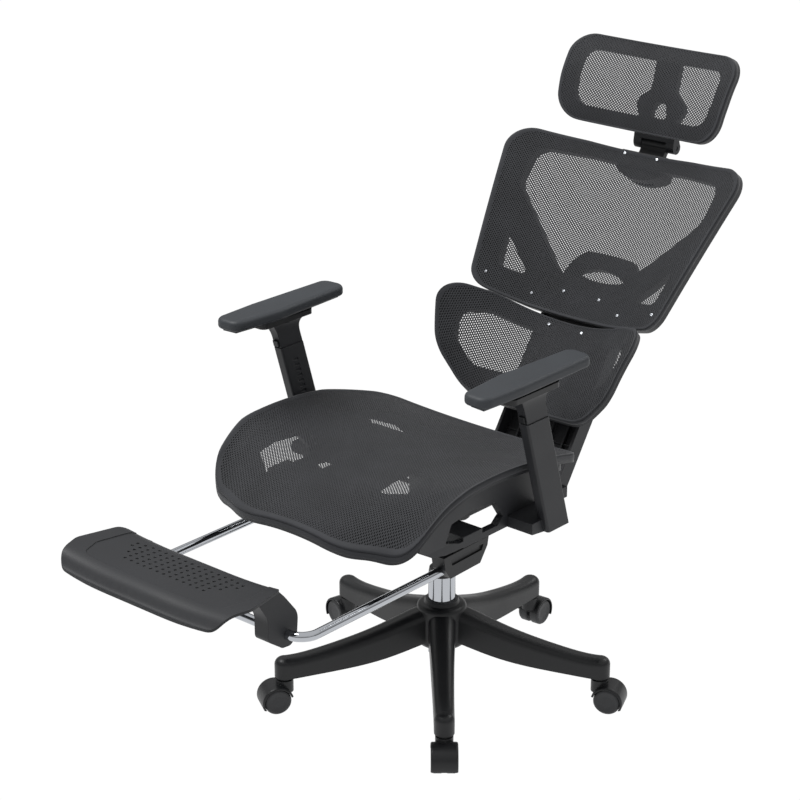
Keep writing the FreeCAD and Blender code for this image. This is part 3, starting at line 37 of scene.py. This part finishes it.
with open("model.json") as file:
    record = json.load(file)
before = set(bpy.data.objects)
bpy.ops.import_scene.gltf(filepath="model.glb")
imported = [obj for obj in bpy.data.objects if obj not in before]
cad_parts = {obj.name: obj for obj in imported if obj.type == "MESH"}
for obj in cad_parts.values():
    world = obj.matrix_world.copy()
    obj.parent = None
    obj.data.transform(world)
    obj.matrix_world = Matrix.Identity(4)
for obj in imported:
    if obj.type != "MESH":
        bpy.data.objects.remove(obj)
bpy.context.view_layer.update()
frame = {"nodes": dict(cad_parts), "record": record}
NODES = frame["nodes"]
MM = 0.001


# Where each leaning panel stands: y and z of its lower edge in mm, and its lean in degrees.
BACK_PLACE = (348, 660, 34)
LUMBAR_PLACE = (222, 482, 48)
HEADREST_PLACE = (560.34, 941.94, 21)

# Camera, fitted to the photograph, in metres, degrees and millimetres of lens, and the floor's half width.
CAMERA_SPOT = (2.429, -2.898, 2.040)
CAMERA_TILT = 90 - 21.308
CAMERA_TURN = 41.127
CAMERA_LENS = 103.24
FLOOR_HALF = 60

# Edges sharper than this many degrees stay crisp.
SHARP_MOULDING = 28
SHARP_SCREW = 35


# Sizes and colours

class ChairSizes(bpy.types.PropertyGroup):
    weave_across: FloatProperty(
        name="Weave across", description="Distance between holes of the mesh, side to side",
        default=3.3 * MM, unit="LENGTH")
    weave_along: FloatProperty(
        name="Weave along", description="Distance between holes of the mesh, front to back",
        default=5.5 * MM, unit="LENGTH")
    grain: FloatProperty(
        name="Moulding grain", description="Width of the fine grain on moulded plastic",
        default=0.9 * MM, unit="LENGTH")
    skin_wrap: FloatProperty(
        name="Wrapped edge", description="How far a mesh skin turns down round its frame",
        default=11 * MM, unit="LENGTH")
    piping: FloatProperty(
        name="Piping", description="Height of the sewn bead round a mesh skin",
        default=1.1 * MM, unit="LENGTH")
    screw_head: FloatProperty(
        name="Screw head", description="Radius of the small screw heads on the back",
        default=3.1 * MM, unit="LENGTH")


class ChairColours(bpy.types.PropertyGroup):
    charcoal: StringProperty(name="Charcoal", description="Moulded frames, arms and tray", default="#1e1f22")
    black: StringProperty(name="Black", description="Inner mouldings and painted tube", default="#151618")
    yarn: StringProperty(name="Yarn", description="Yarn of the woven mesh", default="#242528")
    pad: StringProperty(name="Arm pads", description="Foam of the arm pads", default="#2c2f33")
    tread: StringProperty(name="Tread", description="Caster wheels", default="#2a2b2d")
    steel: StringProperty(name="Steel", description="Bright steel", default="#b4b7bc")
    floor: StringProperty(name="Floor", description="Studio floor", default="#ffffff")


def sizes():
    return bpy.context.scene.chair_sizes


def colour(name):
    """A named colour, from sRGB hex to linear."""
    text = getattr(bpy.context.scene.chair_colours, name).lstrip("#")
    channels = [int(text[i:i + 2], 16) / 255 for i in (0, 2, 4)]
    return [c / 12.92 if c <= 0.04045 else ((c + 0.055) / 1.055) ** 2.4 for c in channels] + [1]


# Finishes

def add(tree, kind, inputs=None, **settings):
    """Add a node with its settings; an input is a value or a socket to link from."""
    made = tree.nodes.new(kind)
    for name, setting in settings.items():
        setattr(made, name, setting)
    for name, source in (inputs or {}).items():
        if isinstance(source, bpy.types.NodeSocket):
            tree.links.new(source, made.inputs[name])
        else:
            made.inputs[name].default_value = source
    return made


def new_material(name):
    material = bpy.data.materials.new(name)
    material.use_nodes = True
    material.node_tree.nodes.clear()
    return material, material.node_tree


def moulded(name, tone, roughness, grain, depth, edge):
    """Moulded plastic: satin, with the fine grain of a spark-eroded mould and softened edges."""
    material, tree = new_material(name)
    place = add(tree, "ShaderNodeTexCoord").outputs["Object"]
    fine = add(tree, "ShaderNodeTexNoise", {"Vector": place, "Scale": 1 / grain, "Detail": 2.0})
    broad = add(tree, "ShaderNodeTexNoise", {"Vector": place, "Scale": 9.0, "Detail": 3.0})
    tint = add(tree, "ShaderNodeMapRange", {"Value": broad.outputs["Fac"], "From Min": 0.3, "From Max": 0.7,
                                            "To Min": 0.88, "To Max": 1.12})
    shade = add(tree, "ShaderNodeVectorMath", {0: colour(tone)[:3], "Scale": tint.outputs["Result"]},
                operation="SCALE")
    rough = add(tree, "ShaderNodeMapRange", {"Value": broad.outputs["Fac"], "From Min": 0.3, "From Max": 0.7,
                                             "To Min": roughness - 0.05, "To Max": roughness + 0.06})
    edges = add(tree, "ShaderNodeBevel", {"Radius": edge}, samples=4)
    bump = add(tree, "ShaderNodeBump", {"Height": fine.outputs["Fac"], "Distance": depth, "Strength": 0.5,
                                        "Normal": edges.outputs["Normal"]})
    shader = add(tree, "ShaderNodeBsdfPrincipled", {
        "Base Color": shade.outputs["Vector"], "Roughness": rough.outputs["Result"], "IOR": 1.49,
        "Specular IOR Level": 0.36, "Normal": bump.outputs["Normal"]})
    add(tree, "ShaderNodeOutputMaterial", {"Surface": shader.outputs["BSDF"]})
    return material


# Half of a hole's width and length, as a share of the distance between holes.
HOLE_ACROSS = 0.225
HOLE_ALONG = 0.255


def woven(name):
    """Open woven polyester: round dark yarns with staggered oval holes. The yarns' own filaments are too
    fine to show. The skin's Closed value draws the holes in where the yarns lie closer, and shuts them
    under the piping."""
    material, tree = new_material(name)
    uv = add(tree, "ShaderNodeUVMap", uv_map="Surface").outputs["UV"]
    parts = add(tree, "ShaderNodeSeparateXYZ", {"Vector": uv})
    closed = add(tree, "ShaderNodeAttribute", attribute_name="Closed").outputs["Fac"]
    sums = {"x": parts.outputs["X"], "y": parts.outputs["Y"], "closed": closed}
    # Each line: the sum's name, what it does, and the two values or earlier sums that it takes.
    for result, operation, first, second in (
            ("across", "DIVIDE", "x", sizes().weave_across),
            ("along", "DIVIDE", "y", sizes().weave_along),
            ("column", "FLOOR", "across", 0),
            ("odd", "FLOORED_MODULO", "column", 2),
            ("stagger", "MULTIPLY", "odd", 0.5),
            ("shifted", "ADD", "along", "stagger"),
            ("part_x", "FRACT", "across", 0),
            ("part_y", "FRACT", "shifted", 0),
            ("from_x", "SUBTRACT", "part_x", 0.5),
            ("from_y", "SUBTRACT", "part_y", 0.5),
            ("share_x", "DIVIDE", "from_x", HOLE_ACROSS),
            ("share_y", "DIVIDE", "from_y", HOLE_ALONG),
            ("square_x", "POWER", "share_x", 2),
            ("square_y", "POWER", "share_y", 2),
            ("squares", "ADD", "square_x", "square_y"),
            ("radius", "SQRT", "squares", 0),
            ("reach", "ADD", "radius", "closed")):
        made = add(tree, "ShaderNodeMath", {0: sums.get(first, first), 1: sums.get(second, second)},
                   operation=operation)
        sums[result] = made.outputs[0]
    reach = sums["reach"]
    solid = add(tree, "ShaderNodeMapRange", {"Value": reach, "From Min": 0.92, "From Max": 1.08})
    height = add(tree, "ShaderNodeMapRange", {"Value": reach, "From Min": 0.9, "From Max": 1.9})
    place = add(tree, "ShaderNodeTexCoord").outputs["Object"]
    broad = add(tree, "ShaderNodeTexNoise", {"Vector": place, "Scale": 14.0, "Detail": 4.0})
    tint = add(tree, "ShaderNodeMapRange", {"Value": broad.outputs["Fac"], "From Min": 0.3, "From Max": 0.7,
                                            "To Min": 0.85, "To Max": 1.15})
    # Painted shade and highlight: the yarn's colour is darkened beside each hole and lightened on the yarns'
    # crests, in place of the shade that falls within the weave.
    painted_weave_shade = add(tree, "ShaderNodeMapRange", {"Value": reach, "From Min": 1.0, "From Max": 1.9,
                                             "To Min": 0.2, "To Max": 1.3})
    tone_and_painted_shade = add(tree, "ShaderNodeMath", {0: tint.outputs["Result"], 1: painted_weave_shade.outputs["Result"]},
                   operation="MULTIPLY")
    # The yarn colour times its random tone and the painted shade beside the holes.
    shade = add(tree, "ShaderNodeVectorMath", {0: colour("yarn")[:3], "Scale": tone_and_painted_shade.outputs[0]},
                operation="SCALE")
    bump = add(tree, "ShaderNodeBump", {"Height": height.outputs["Result"], "Distance": 0.7 * MM,
                                        "Strength": 0.9})
    shader = add(tree, "ShaderNodeBsdfPrincipled", {
        "Base Color": shade.outputs["Vector"], "Roughness": 0.72, "IOR": 1.5, "Specular IOR Level": 0.3,
        "Sheen Weight": 0.12, "Sheen Roughness": 0.4, "Alpha": solid.outputs["Result"],
        "Normal": bump.outputs["Normal"]})
    add(tree, "ShaderNodeOutputMaterial", {"Surface": shader.outputs["BSDF"]})
    return material


def metal(name, tone, roughness, scratch, polish=1.0):
    """Metal: chrome plate, ground steel or paint over steel, by its roughness and polish."""
    material, tree = new_material(name)
    place = add(tree, "ShaderNodeTexCoord").outputs["Object"]
    wear = add(tree, "ShaderNodeTexNoise", {"Vector": place, "Scale": scratch, "Detail": 3.0})
    rough = add(tree, "ShaderNodeMapRange", {"Value": wear.outputs["Fac"], "From Min": 0.3, "From Max": 0.7,
                                             "To Min": roughness * 0.8, "To Max": roughness * 1.3})
    edges = add(tree, "ShaderNodeBevel", {"Radius": 0.6 * MM}, samples=4)
    shader = add(tree, "ShaderNodeBsdfPrincipled", {
        "Base Color": colour(tone), "Metallic": polish, "Roughness": rough.outputs["Result"],
        "Normal": edges.outputs["Normal"]})
    add(tree, "ShaderNodeOutputMaterial", {"Surface": shader.outputs["BSDF"]})
    return material


FINISHES = {}


def make_finishes():
    grain = sizes().grain
    FINISHES.update({
        # Glass-filled nylon of the base: satin with a slight sheen along its crests.
        "glass_filled_nylon": moulded("Glass-filled nylon, moulded", "black", 0.4, grain, 0.1 * MM, 1.6 * MM),
        # Polypropylene frames and arms: even satin charcoal.
        "charcoal_plastic": moulded("Polypropylene, moulded", "charcoal", 0.5, grain, 0.12 * MM, 1.6 * MM),
        # Inner nylon mouldings: near black, a little glossier than the frames.
        "black_plastic": moulded("Nylon, moulded black", "black", 0.42, grain, 0.1 * MM, 1.0 * MM),
        # Foam pads with their own skin: softer light than the hard frames.
        "polyurethane_pad": moulded("Polyurethane foam, self-skinned", "pad", 0.56, grain, 0.2 * MM,
                                    2.5 * MM),
        # Cast treads: dull dark grey, without a highlight.
        "wheel_polyurethane": moulded("Polyurethane tread, cast", "tread", 0.48, grain, 0.1 * MM, 1.0 * MM),
        # Chrome plate on the column and the footrest's rods: a sharp mirror of the studio.
        "chromed_steel": metal("Chrome plate, polished", "steel", 0.05, 14.0),
        # Ground pins and screw heads: bright, with a soft highlight.
        "bright_steel": metal("Steel, ground", "steel", 0.28, 220.0),
        # Powder coat on the mechanism: even black with a broad highlight.
        "black_painted_steel": metal("Powder coat, black", "black", 0.3, 300.0, 0.0),
        # The skins: dark yarn, with the light coming through its holes where no frame lies behind.
        "woven_mesh": woven("Polyester mesh, woven"),
    })


# Building pieces

def new_object(name, mesh, body, slot):
    piece = bpy.data.objects.new(name, mesh)
    bpy.context.scene.collection.objects.link(piece)
    piece.data.materials.append(FINISHES[slot])
    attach(piece, body)
    return piece


def rounded(corners, step=4.0):
    """A closed outline in mm through (x, y, radius) corners, with points every few mm."""
    points = []
    count = len(corners)
    for i, (x, y, radius) in enumerate(corners):
        corner = Vector((x, y))
        before = (Vector(corners[i - 1][:2]) - corner).normalized()
        after = (Vector(corners[(i + 1) % count][:2]) - corner).normalized()
        half = before.angle(after) / 2
        reach = radius / math.tan(half)
        centre = corner + (before + after).normalized() * (radius / math.sin(half))
        start = corner + before * reach - centre
        end = corner + after * reach - centre
        turn = start.angle_signed(end)
        pieces = max(3, round(abs(turn) * radius / step))
        for k in range(pieces + 1):
            arm = start.copy()
            arm.rotate(Matrix.Rotation(-turn * k / pieces, 2))
            points.append(centre + arm)
    return points


def resampled(points, count):
    """The same closed outline with evenly spaced points."""
    closed = points + [points[0]]
    lengths = [0.0]
    for a, b in zip(closed, closed[1:]):
        lengths.append(lengths[-1] + (b - a).length)
    result = []
    k = 0
    for i in range(count):
        want = lengths[-1] * i / count
        while lengths[k + 1] < want:
            k += 1
        share = (want - lengths[k]) / max(lengths[k + 1] - lengths[k], 1e-9)
        result.append(closed[k].lerp(closed[k + 1], share))
    return result


def mirrored(half):
    return half + [(-x, y, radius) for x, y, radius in reversed(half)]


def leaned(y, z, lean):
    """From a panel's own axes (X across, Y up the lean, Z out of its front), in mm, to the chair's."""
    turn = Matrix.Rotation(math.radians(90 - lean), 4, "X")
    return Matrix.Translation((0, y * MM, z * MM)) @ turn @ Matrix.Scale(MM, 4)


def skin(name, outline, height, place, body, node, centre, closed=0.0):
    """A mesh skin over a flat outline, turned down round its frame at the edge. A closed value above 0
    draws its holes in all over, where the yarns lie closer."""
    count = 240
    rings = 26
    border = resampled(outline, count)
    middle = Vector(centre)
    wrap = sizes().skin_wrap / MM
    bead = sizes().piping / MM
    verts = []
    marks = []
    shut = [closed]
    # Rings from the centre out: share of the way to the edge, height on the bead, and the Closed value.
    steps = [(0.965 * ((i + 1) / rings) ** 0.85, 0, closed) for i in range(rings)]
    steps += [(0.972, 0.2, 2), (0.98, 0.9, 2), (0.99, 1, 2), (1, 0.5, 2)]
    verts.append(Vector((middle.x, middle.y, height(middle.x, middle.y))))
    marks.append(middle.copy())
    for share, lift, hold in steps:
        for point in border:
            spot = middle + (point - middle) * share
            verts.append(Vector((spot.x, spot.y, height(spot.x, spot.y) + lift * bead)))
            marks.append(spot)
            shut.append(hold)
    # The turned edge: a quarter round of 3 mm, then straight down, then a little under.
    bend = 3.0
    profile = [(bend * math.sin(a), bend * (1 - math.cos(a))) for a in (0.5, 1.05, math.pi / 2)]
    profile += [(bend, wrap * 0.6), (bend - 0.6, wrap), (bend - 4, wrap + 0.6)]
    for out, down in profile:
        for i, point in enumerate(border):
            tangent = (border[(i + 1) % count] - border[i - 1]).normalized()
            normal = Vector((tangent.y, -tangent.x))
            if normal.dot(point - middle) < 0:
                normal = -normal
            spot = point + normal * (out - bend)
            verts.append(Vector((spot.x, spot.y, height(point.x, point.y) - down)))
            marks.append(point + normal * (out + down))
            shut.append(2)
    mesh = bpy.data.meshes.new(name)
    faces = []
    total = len(verts)
    layers = (total - 1) // count
    for i in range(count):
        j = (i + 1) % count
        faces.append((0, 1 + i, 1 + j))
        for layer in range(layers - 1):
            low = 1 + layer * count
            faces.append((low + i, low + count + i, low + count + j, low + j))
    mesh.from_pydata([tuple(v) for v in verts], [], faces)
    uv = mesh.uv_layers.new(name="Surface")
    for loop in mesh.loops:
        spot = marks[loop.vertex_index]
        uv.data[loop.index].uv = (spot.x * MM, spot.y * MM)
    mesh.attributes.new("Closed", "FLOAT", "POINT").data.foreach_set("value", shut)
    mesh.transform(place)
    work = bmesh.new()
    work.from_mesh(mesh)
    bmesh.ops.recalc_face_normals(work, faces=work.faces)
    work.to_mesh(mesh)
    work.free()
    mesh.shade_smooth()
    piece = new_object(name, mesh, body, "woven_mesh")
    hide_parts(node)


# The skins, each with its surface in mm from the same outline as its frame

def seat_height(x, y):
    """The seat's crowned sides, and its front edge rolled down."""
    middle = 512 - 30 * ((max(y, -250) + 170) / 280) ** 2
    side = 544 - 52 * ((max(y, -210) + 170) / 280) ** 2
    top = middle + (side - middle) * (abs(x) / 254) ** 2.2
    edge_y = -391 + 50 * (min(abs(x), 235) / 215) ** 2
    edge = 461 + 37 * (max(abs(x) - 187, 0) / 63) ** 2
    share = min(max(1 - (y - edge_y) / 125, 0), 1.15)
    return top - (top - edge) * share ** 2


class CHAIR_OT_seat(bpy.types.Operator):
    """The woven skin of the seat"""
    bl_idname = "chair.seat"
    bl_label = "Seat mesh"

    def execute(self, context):
        outline = rounded(mirrored([(110, -395, 200), (240, -345, 60), (254, -250, 60), (254, -40, 100),
                                    (226, 108, 45)]))
        place = Matrix.Scale(MM, 4)
        skin("seat_skin", outline, seat_height, place, "seat_unit", "seat_mesh",
             centre=(0, -140), closed=0.06)
        return {"FINISHED"}


def back_height(x, s):
    """The back, hollow from side to side and flatter towards its top."""
    return -(46 + 0.05 * s - (0.00138 - 0.00000167 * s) * x * x)


class CHAIR_OT_back(bpy.types.Operator):
    """The woven skin of the upper back"""
    bl_idname = "chair.back"
    bl_label = "Back mesh"

    def execute(self, context):
        outline = rounded(mirrored([(101, -20, 300), (214, -12, 40), (272, 318, 48), (120, 326, 300)]))
        skin("back_skin", outline, back_height, leaned(*BACK_PLACE), "back_upper", "back_mesh",
             centre=(0, 150))
        return {"FINISHED"}


def lumbar_height(x, s):
    """The lumbar panel, with wings that come forward."""
    return (0.0003 + 0.0019 * (1 - math.exp(-max(s, -20) / 45))) * x * x


class CHAIR_OT_lumbar(bpy.types.Operator):
    """The woven skin of the lumbar support"""
    bl_idname = "chair.lumbar"
    bl_label = "Lumbar mesh"

    def execute(self, context):
        outline = rounded(mirrored([(135.7, 2, 80), (202.3, 50, 70), (238, 168, 50), (150, 194, 120)]))
        skin("lumbar_skin", outline, lumbar_height, leaned(*LUMBAR_PLACE), "lumbar", "lumbar_mesh",
             centre=(0, 95))
        return {"FINISHED"}


def headrest_height(x, s):
    """The headrest, crowned from top to bottom for the neck."""
    return -(22 * ((s - 60) / 100) ** 2 - 10 - 0.0004 * x * x)


class CHAIR_OT_headrest(bpy.types.Operator):
    """The woven skin of the headrest"""
    bl_idname = "chair.headrest"
    bl_label = "Headrest mesh"

    def execute(self, context):
        outline = rounded(mirrored([(178.6, 0, 50), (186, 78, 120), (188.1, 169, 44)]))
        skin("headrest_skin", outline, headrest_height, leaned(*HEADREST_PLACE), "headrest", "headrest_mesh",
             centre=(0, 80))
        return {"FINISHED"}


def screws(name, spots, height, place, body):
    """Small domed screw heads with a cross recess, each standing on the skin at its (x, y)."""
    radius = sizes().screw_head / MM
    around = 24
    # The corners between the cross's arms, as a share of the arms' reach.
    inner_corner = 0.36
    # Rings from the recess's floor out to the rim: share of the radius, rise, and whether it is the cross.
    rings = ((0.5, 0.35, True), (0.58, 1.35, True), (0.8, 1.3, False), (0.95, 0.9, False), (1, 0.4, False),
             (1, -0.6, False))
    verts = []
    faces = []
    for x, y in spots:
        first = len(verts)
        base = height(x, y)
        verts.append((x, y, base + rings[0][1]))
        for share, rise, cross in rings:
            for i in range(around):
                angle = 2 * math.pi * i / around
                between_arms = cross and i % (around // 4) in (2, 3, 4)
                reach = radius * share * (inner_corner if between_arms else 1)
                verts.append((x + reach * math.cos(angle), y + reach * math.sin(angle), base + rise))
        for i in range(around):
            j = (i + 1) % around
            faces.append((first, first + 1 + i, first + 1 + j))
            for ring in range(len(rings) - 1):
                low = first + 1 + ring * around
                faces.append((low + i, low + around + i, low + around + j, low + j))
    mesh = bpy.data.meshes.new(name)
    mesh.from_pydata(verts, [], faces)
    mesh.transform(place)
    mesh.shade_smooth()
    mesh.set_sharp_from_angle(angle=math.radians(SHARP_SCREW))
    new_object(name, mesh, body, "bright_steel")


class CHAIR_OT_screws(bpy.types.Operator):
    """The screws that hold the skins' frames, through the mesh"""
    bl_idname = "chair.screws"
    bl_label = "Screws"

    def execute(self, context):
        # In mm from the middle, and up the lean from the panel's lower edge.
        pairs = [(193, 17), (100, 6), (41, 28), (37, 320)]
        spots = [(sign * x, s) for x, s in pairs for sign in (1, -1)]
        screws("back_screws", spots, back_height, leaned(*BACK_PLACE), "back_upper")
        screws("lumbar_screws", [(38, 180), (-38, 180)], lumbar_height, leaned(*LUMBAR_PLACE), "lumbar")
        return {"FINISHED"}


class CHAIR_OT_finishes(bpy.types.Operator):
    """The finish of every moulding and metal part"""
    bl_idname = "chair.finishes"
    bl_label = "Finishes"

    def execute(self, context):
        make_finishes()
        for entry in frame["record"]["subparts"]:
            piece = NODES[entry["node"]]
            piece.data.materials.clear()
            piece.data.materials.append(FINISHES[entry["material_slot"]])
            piece.data.shade_smooth()
            piece.data.set_sharp_from_angle(angle=math.radians(SHARP_MOULDING))
        return {"FINISHED"}


class CHAIR_OT_stage(bpy.types.Operator):
    """Floor, soft studio light and the camera"""
    bl_idname = "chair.stage"
    bl_label = "Stage"

    def execute(self, context):
        scene = context.scene
        mesh = bpy.data.meshes.new("studio_floor")
        corners = [(x * FLOOR_HALF, y * FLOOR_HALF, 0) for x, y in ((-1, -1), (1, -1), (1, 1), (-1, 1))]
        mesh.from_pydata(corners, [], [(0, 1, 2, 3)])
        floor = bpy.data.objects.new("studio_floor", mesh)
        scene.collection.objects.link(floor)
        # Backlit acrylic: an even white with no shadow on it.
        material, tree = new_material("Acrylic sheet, backlit")
        place = add(tree, "ShaderNodeTexCoord").outputs["Object"]
        texture = add(tree, "ShaderNodeTexNoise", {"Vector": place, "Scale": 300.0})
        bump = add(tree, "ShaderNodeBump", {"Height": texture.outputs["Fac"], "Distance": 0.1 * MM,
                                            "Strength": 0.1})
        shader = add(tree, "ShaderNodeBsdfPrincipled", {
            "Base Color": (0, 0, 0, 1), "Roughness": 0.95, "Specular IOR Level": 0.0,
            "Emission Color": colour("floor"), "Emission Strength": 1.02, "Normal": bump.outputs["Normal"]})
        add(tree, "ShaderNodeOutputMaterial", {"Surface": shader.outputs["BSDF"]})
        mesh.materials.append(material)

        world = bpy.data.worlds.new("Studio")
        world.use_nodes = True
        scene.world = world
        # A large soft light overhead that fades to a dim room, and a white wall low round the floor.
        tree = world.node_tree
        direction = add(tree, "ShaderNodeTexCoord").outputs["Generated"]
        up = add(tree, "ShaderNodeSeparateXYZ", {"Vector": direction}).outputs["Z"]
        sky = add(tree, "ShaderNodeMapRange", {"Value": up, "From Min": 0.05, "From Max": 0.75,
                                               "To Min": 0.12, "To Max": 0.85},
                  interpolation_type="SMOOTHSTEP")
        wall = add(tree, "ShaderNodeMapRange", {"Value": up, "From Min": 0.07, "From Max": 0.12,
                                                "To Min": 1.02, "To Max": 0.0})
        light_from = add(tree, "ShaderNodeMath", {0: sky.outputs["Result"], 1: wall.outputs["Result"]},
                         operation="MAXIMUM")
        background = tree.nodes["Background"]
        background.inputs["Color"].default_value = (1, 1, 1, 1)
        tree.links.new(light_from.outputs[0], background.inputs["Strength"])
        scene.view_settings.view_transform = "Standard"

        for name, spot, target, power, width in (
                ("key", (-1.0, -1.2, 3.6), (0, -0.1, 0.5), 110, 1.6),
                ("fill", (3.4, -0.8, 1.6), (0, 0, 0.5), 1, 1.6),
                ("rim", (0.8, 2.6, 2.8), (0, 0, 0.7), 22, 1.2)):
            light = bpy.data.lights.new(name, "AREA")
            light.energy = power
            light.size = width
            lamp = bpy.data.objects.new(name, light)
            lamp.location = spot
            lamp.rotation_euler = (Vector(target) - Vector(spot)).to_track_quat("-Z", "Y").to_euler()
            scene.collection.objects.link(lamp)

        data = bpy.data.cameras.new("camera")
        data.lens = CAMERA_LENS
        data.sensor_width = 36
        data.clip_end = 200
        camera = bpy.data.objects.new("camera", data)
        camera.location = CAMERA_SPOT
        camera.rotation_euler = (math.radians(CAMERA_TILT), 0, math.radians(CAMERA_TURN))
        scene.collection.objects.link(camera)
        scene.camera = camera
        return {"FINISHED"}


OPERATORS = (CHAIR_OT_finishes, CHAIR_OT_seat, CHAIR_OT_back, CHAIR_OT_lumbar, CHAIR_OT_headrest,
             CHAIR_OT_screws, CHAIR_OT_stage)


class CHAIR_PT_panel(bpy.types.Panel):
    """The chair's pieces, in the 3D view's sidebar"""
    bl_label = "Chair"
    bl_idname = "CHAIR_PT_panel"
    bl_space_type = "VIEW_3D"
    bl_region_type = "UI"
    bl_category = "Chair"

    def draw(self, context):
        for group in (context.scene.chair_sizes, context.scene.chair_colours):
            for name in group.__annotations__:
                self.layout.prop(group, name)
        for operator in OPERATORS:
            self.layout.operator(operator.bl_idname)


CLASSES = (ChairSizes, ChairColours) + OPERATORS + (CHAIR_PT_panel,)


def register():
    for cls in CLASSES:
        bpy.utils.register_class(cls)
    bpy.types.Scene.chair_sizes = PointerProperty(type=ChairSizes)
    bpy.types.Scene.chair_colours = PointerProperty(type=ChairColours)


def unregister():
    del bpy.types.Scene.chair_colours
    del bpy.types.Scene.chair_sizes
    for cls in reversed(CLASSES):
        bpy.utils.unregister_class(cls)


def main():
    register()
    for operator in OPERATORS:
        group, name = operator.bl_idname.split(".")
        getattr(getattr(bpy.ops, group), name)()


if __name__ == "__main__":
    main()
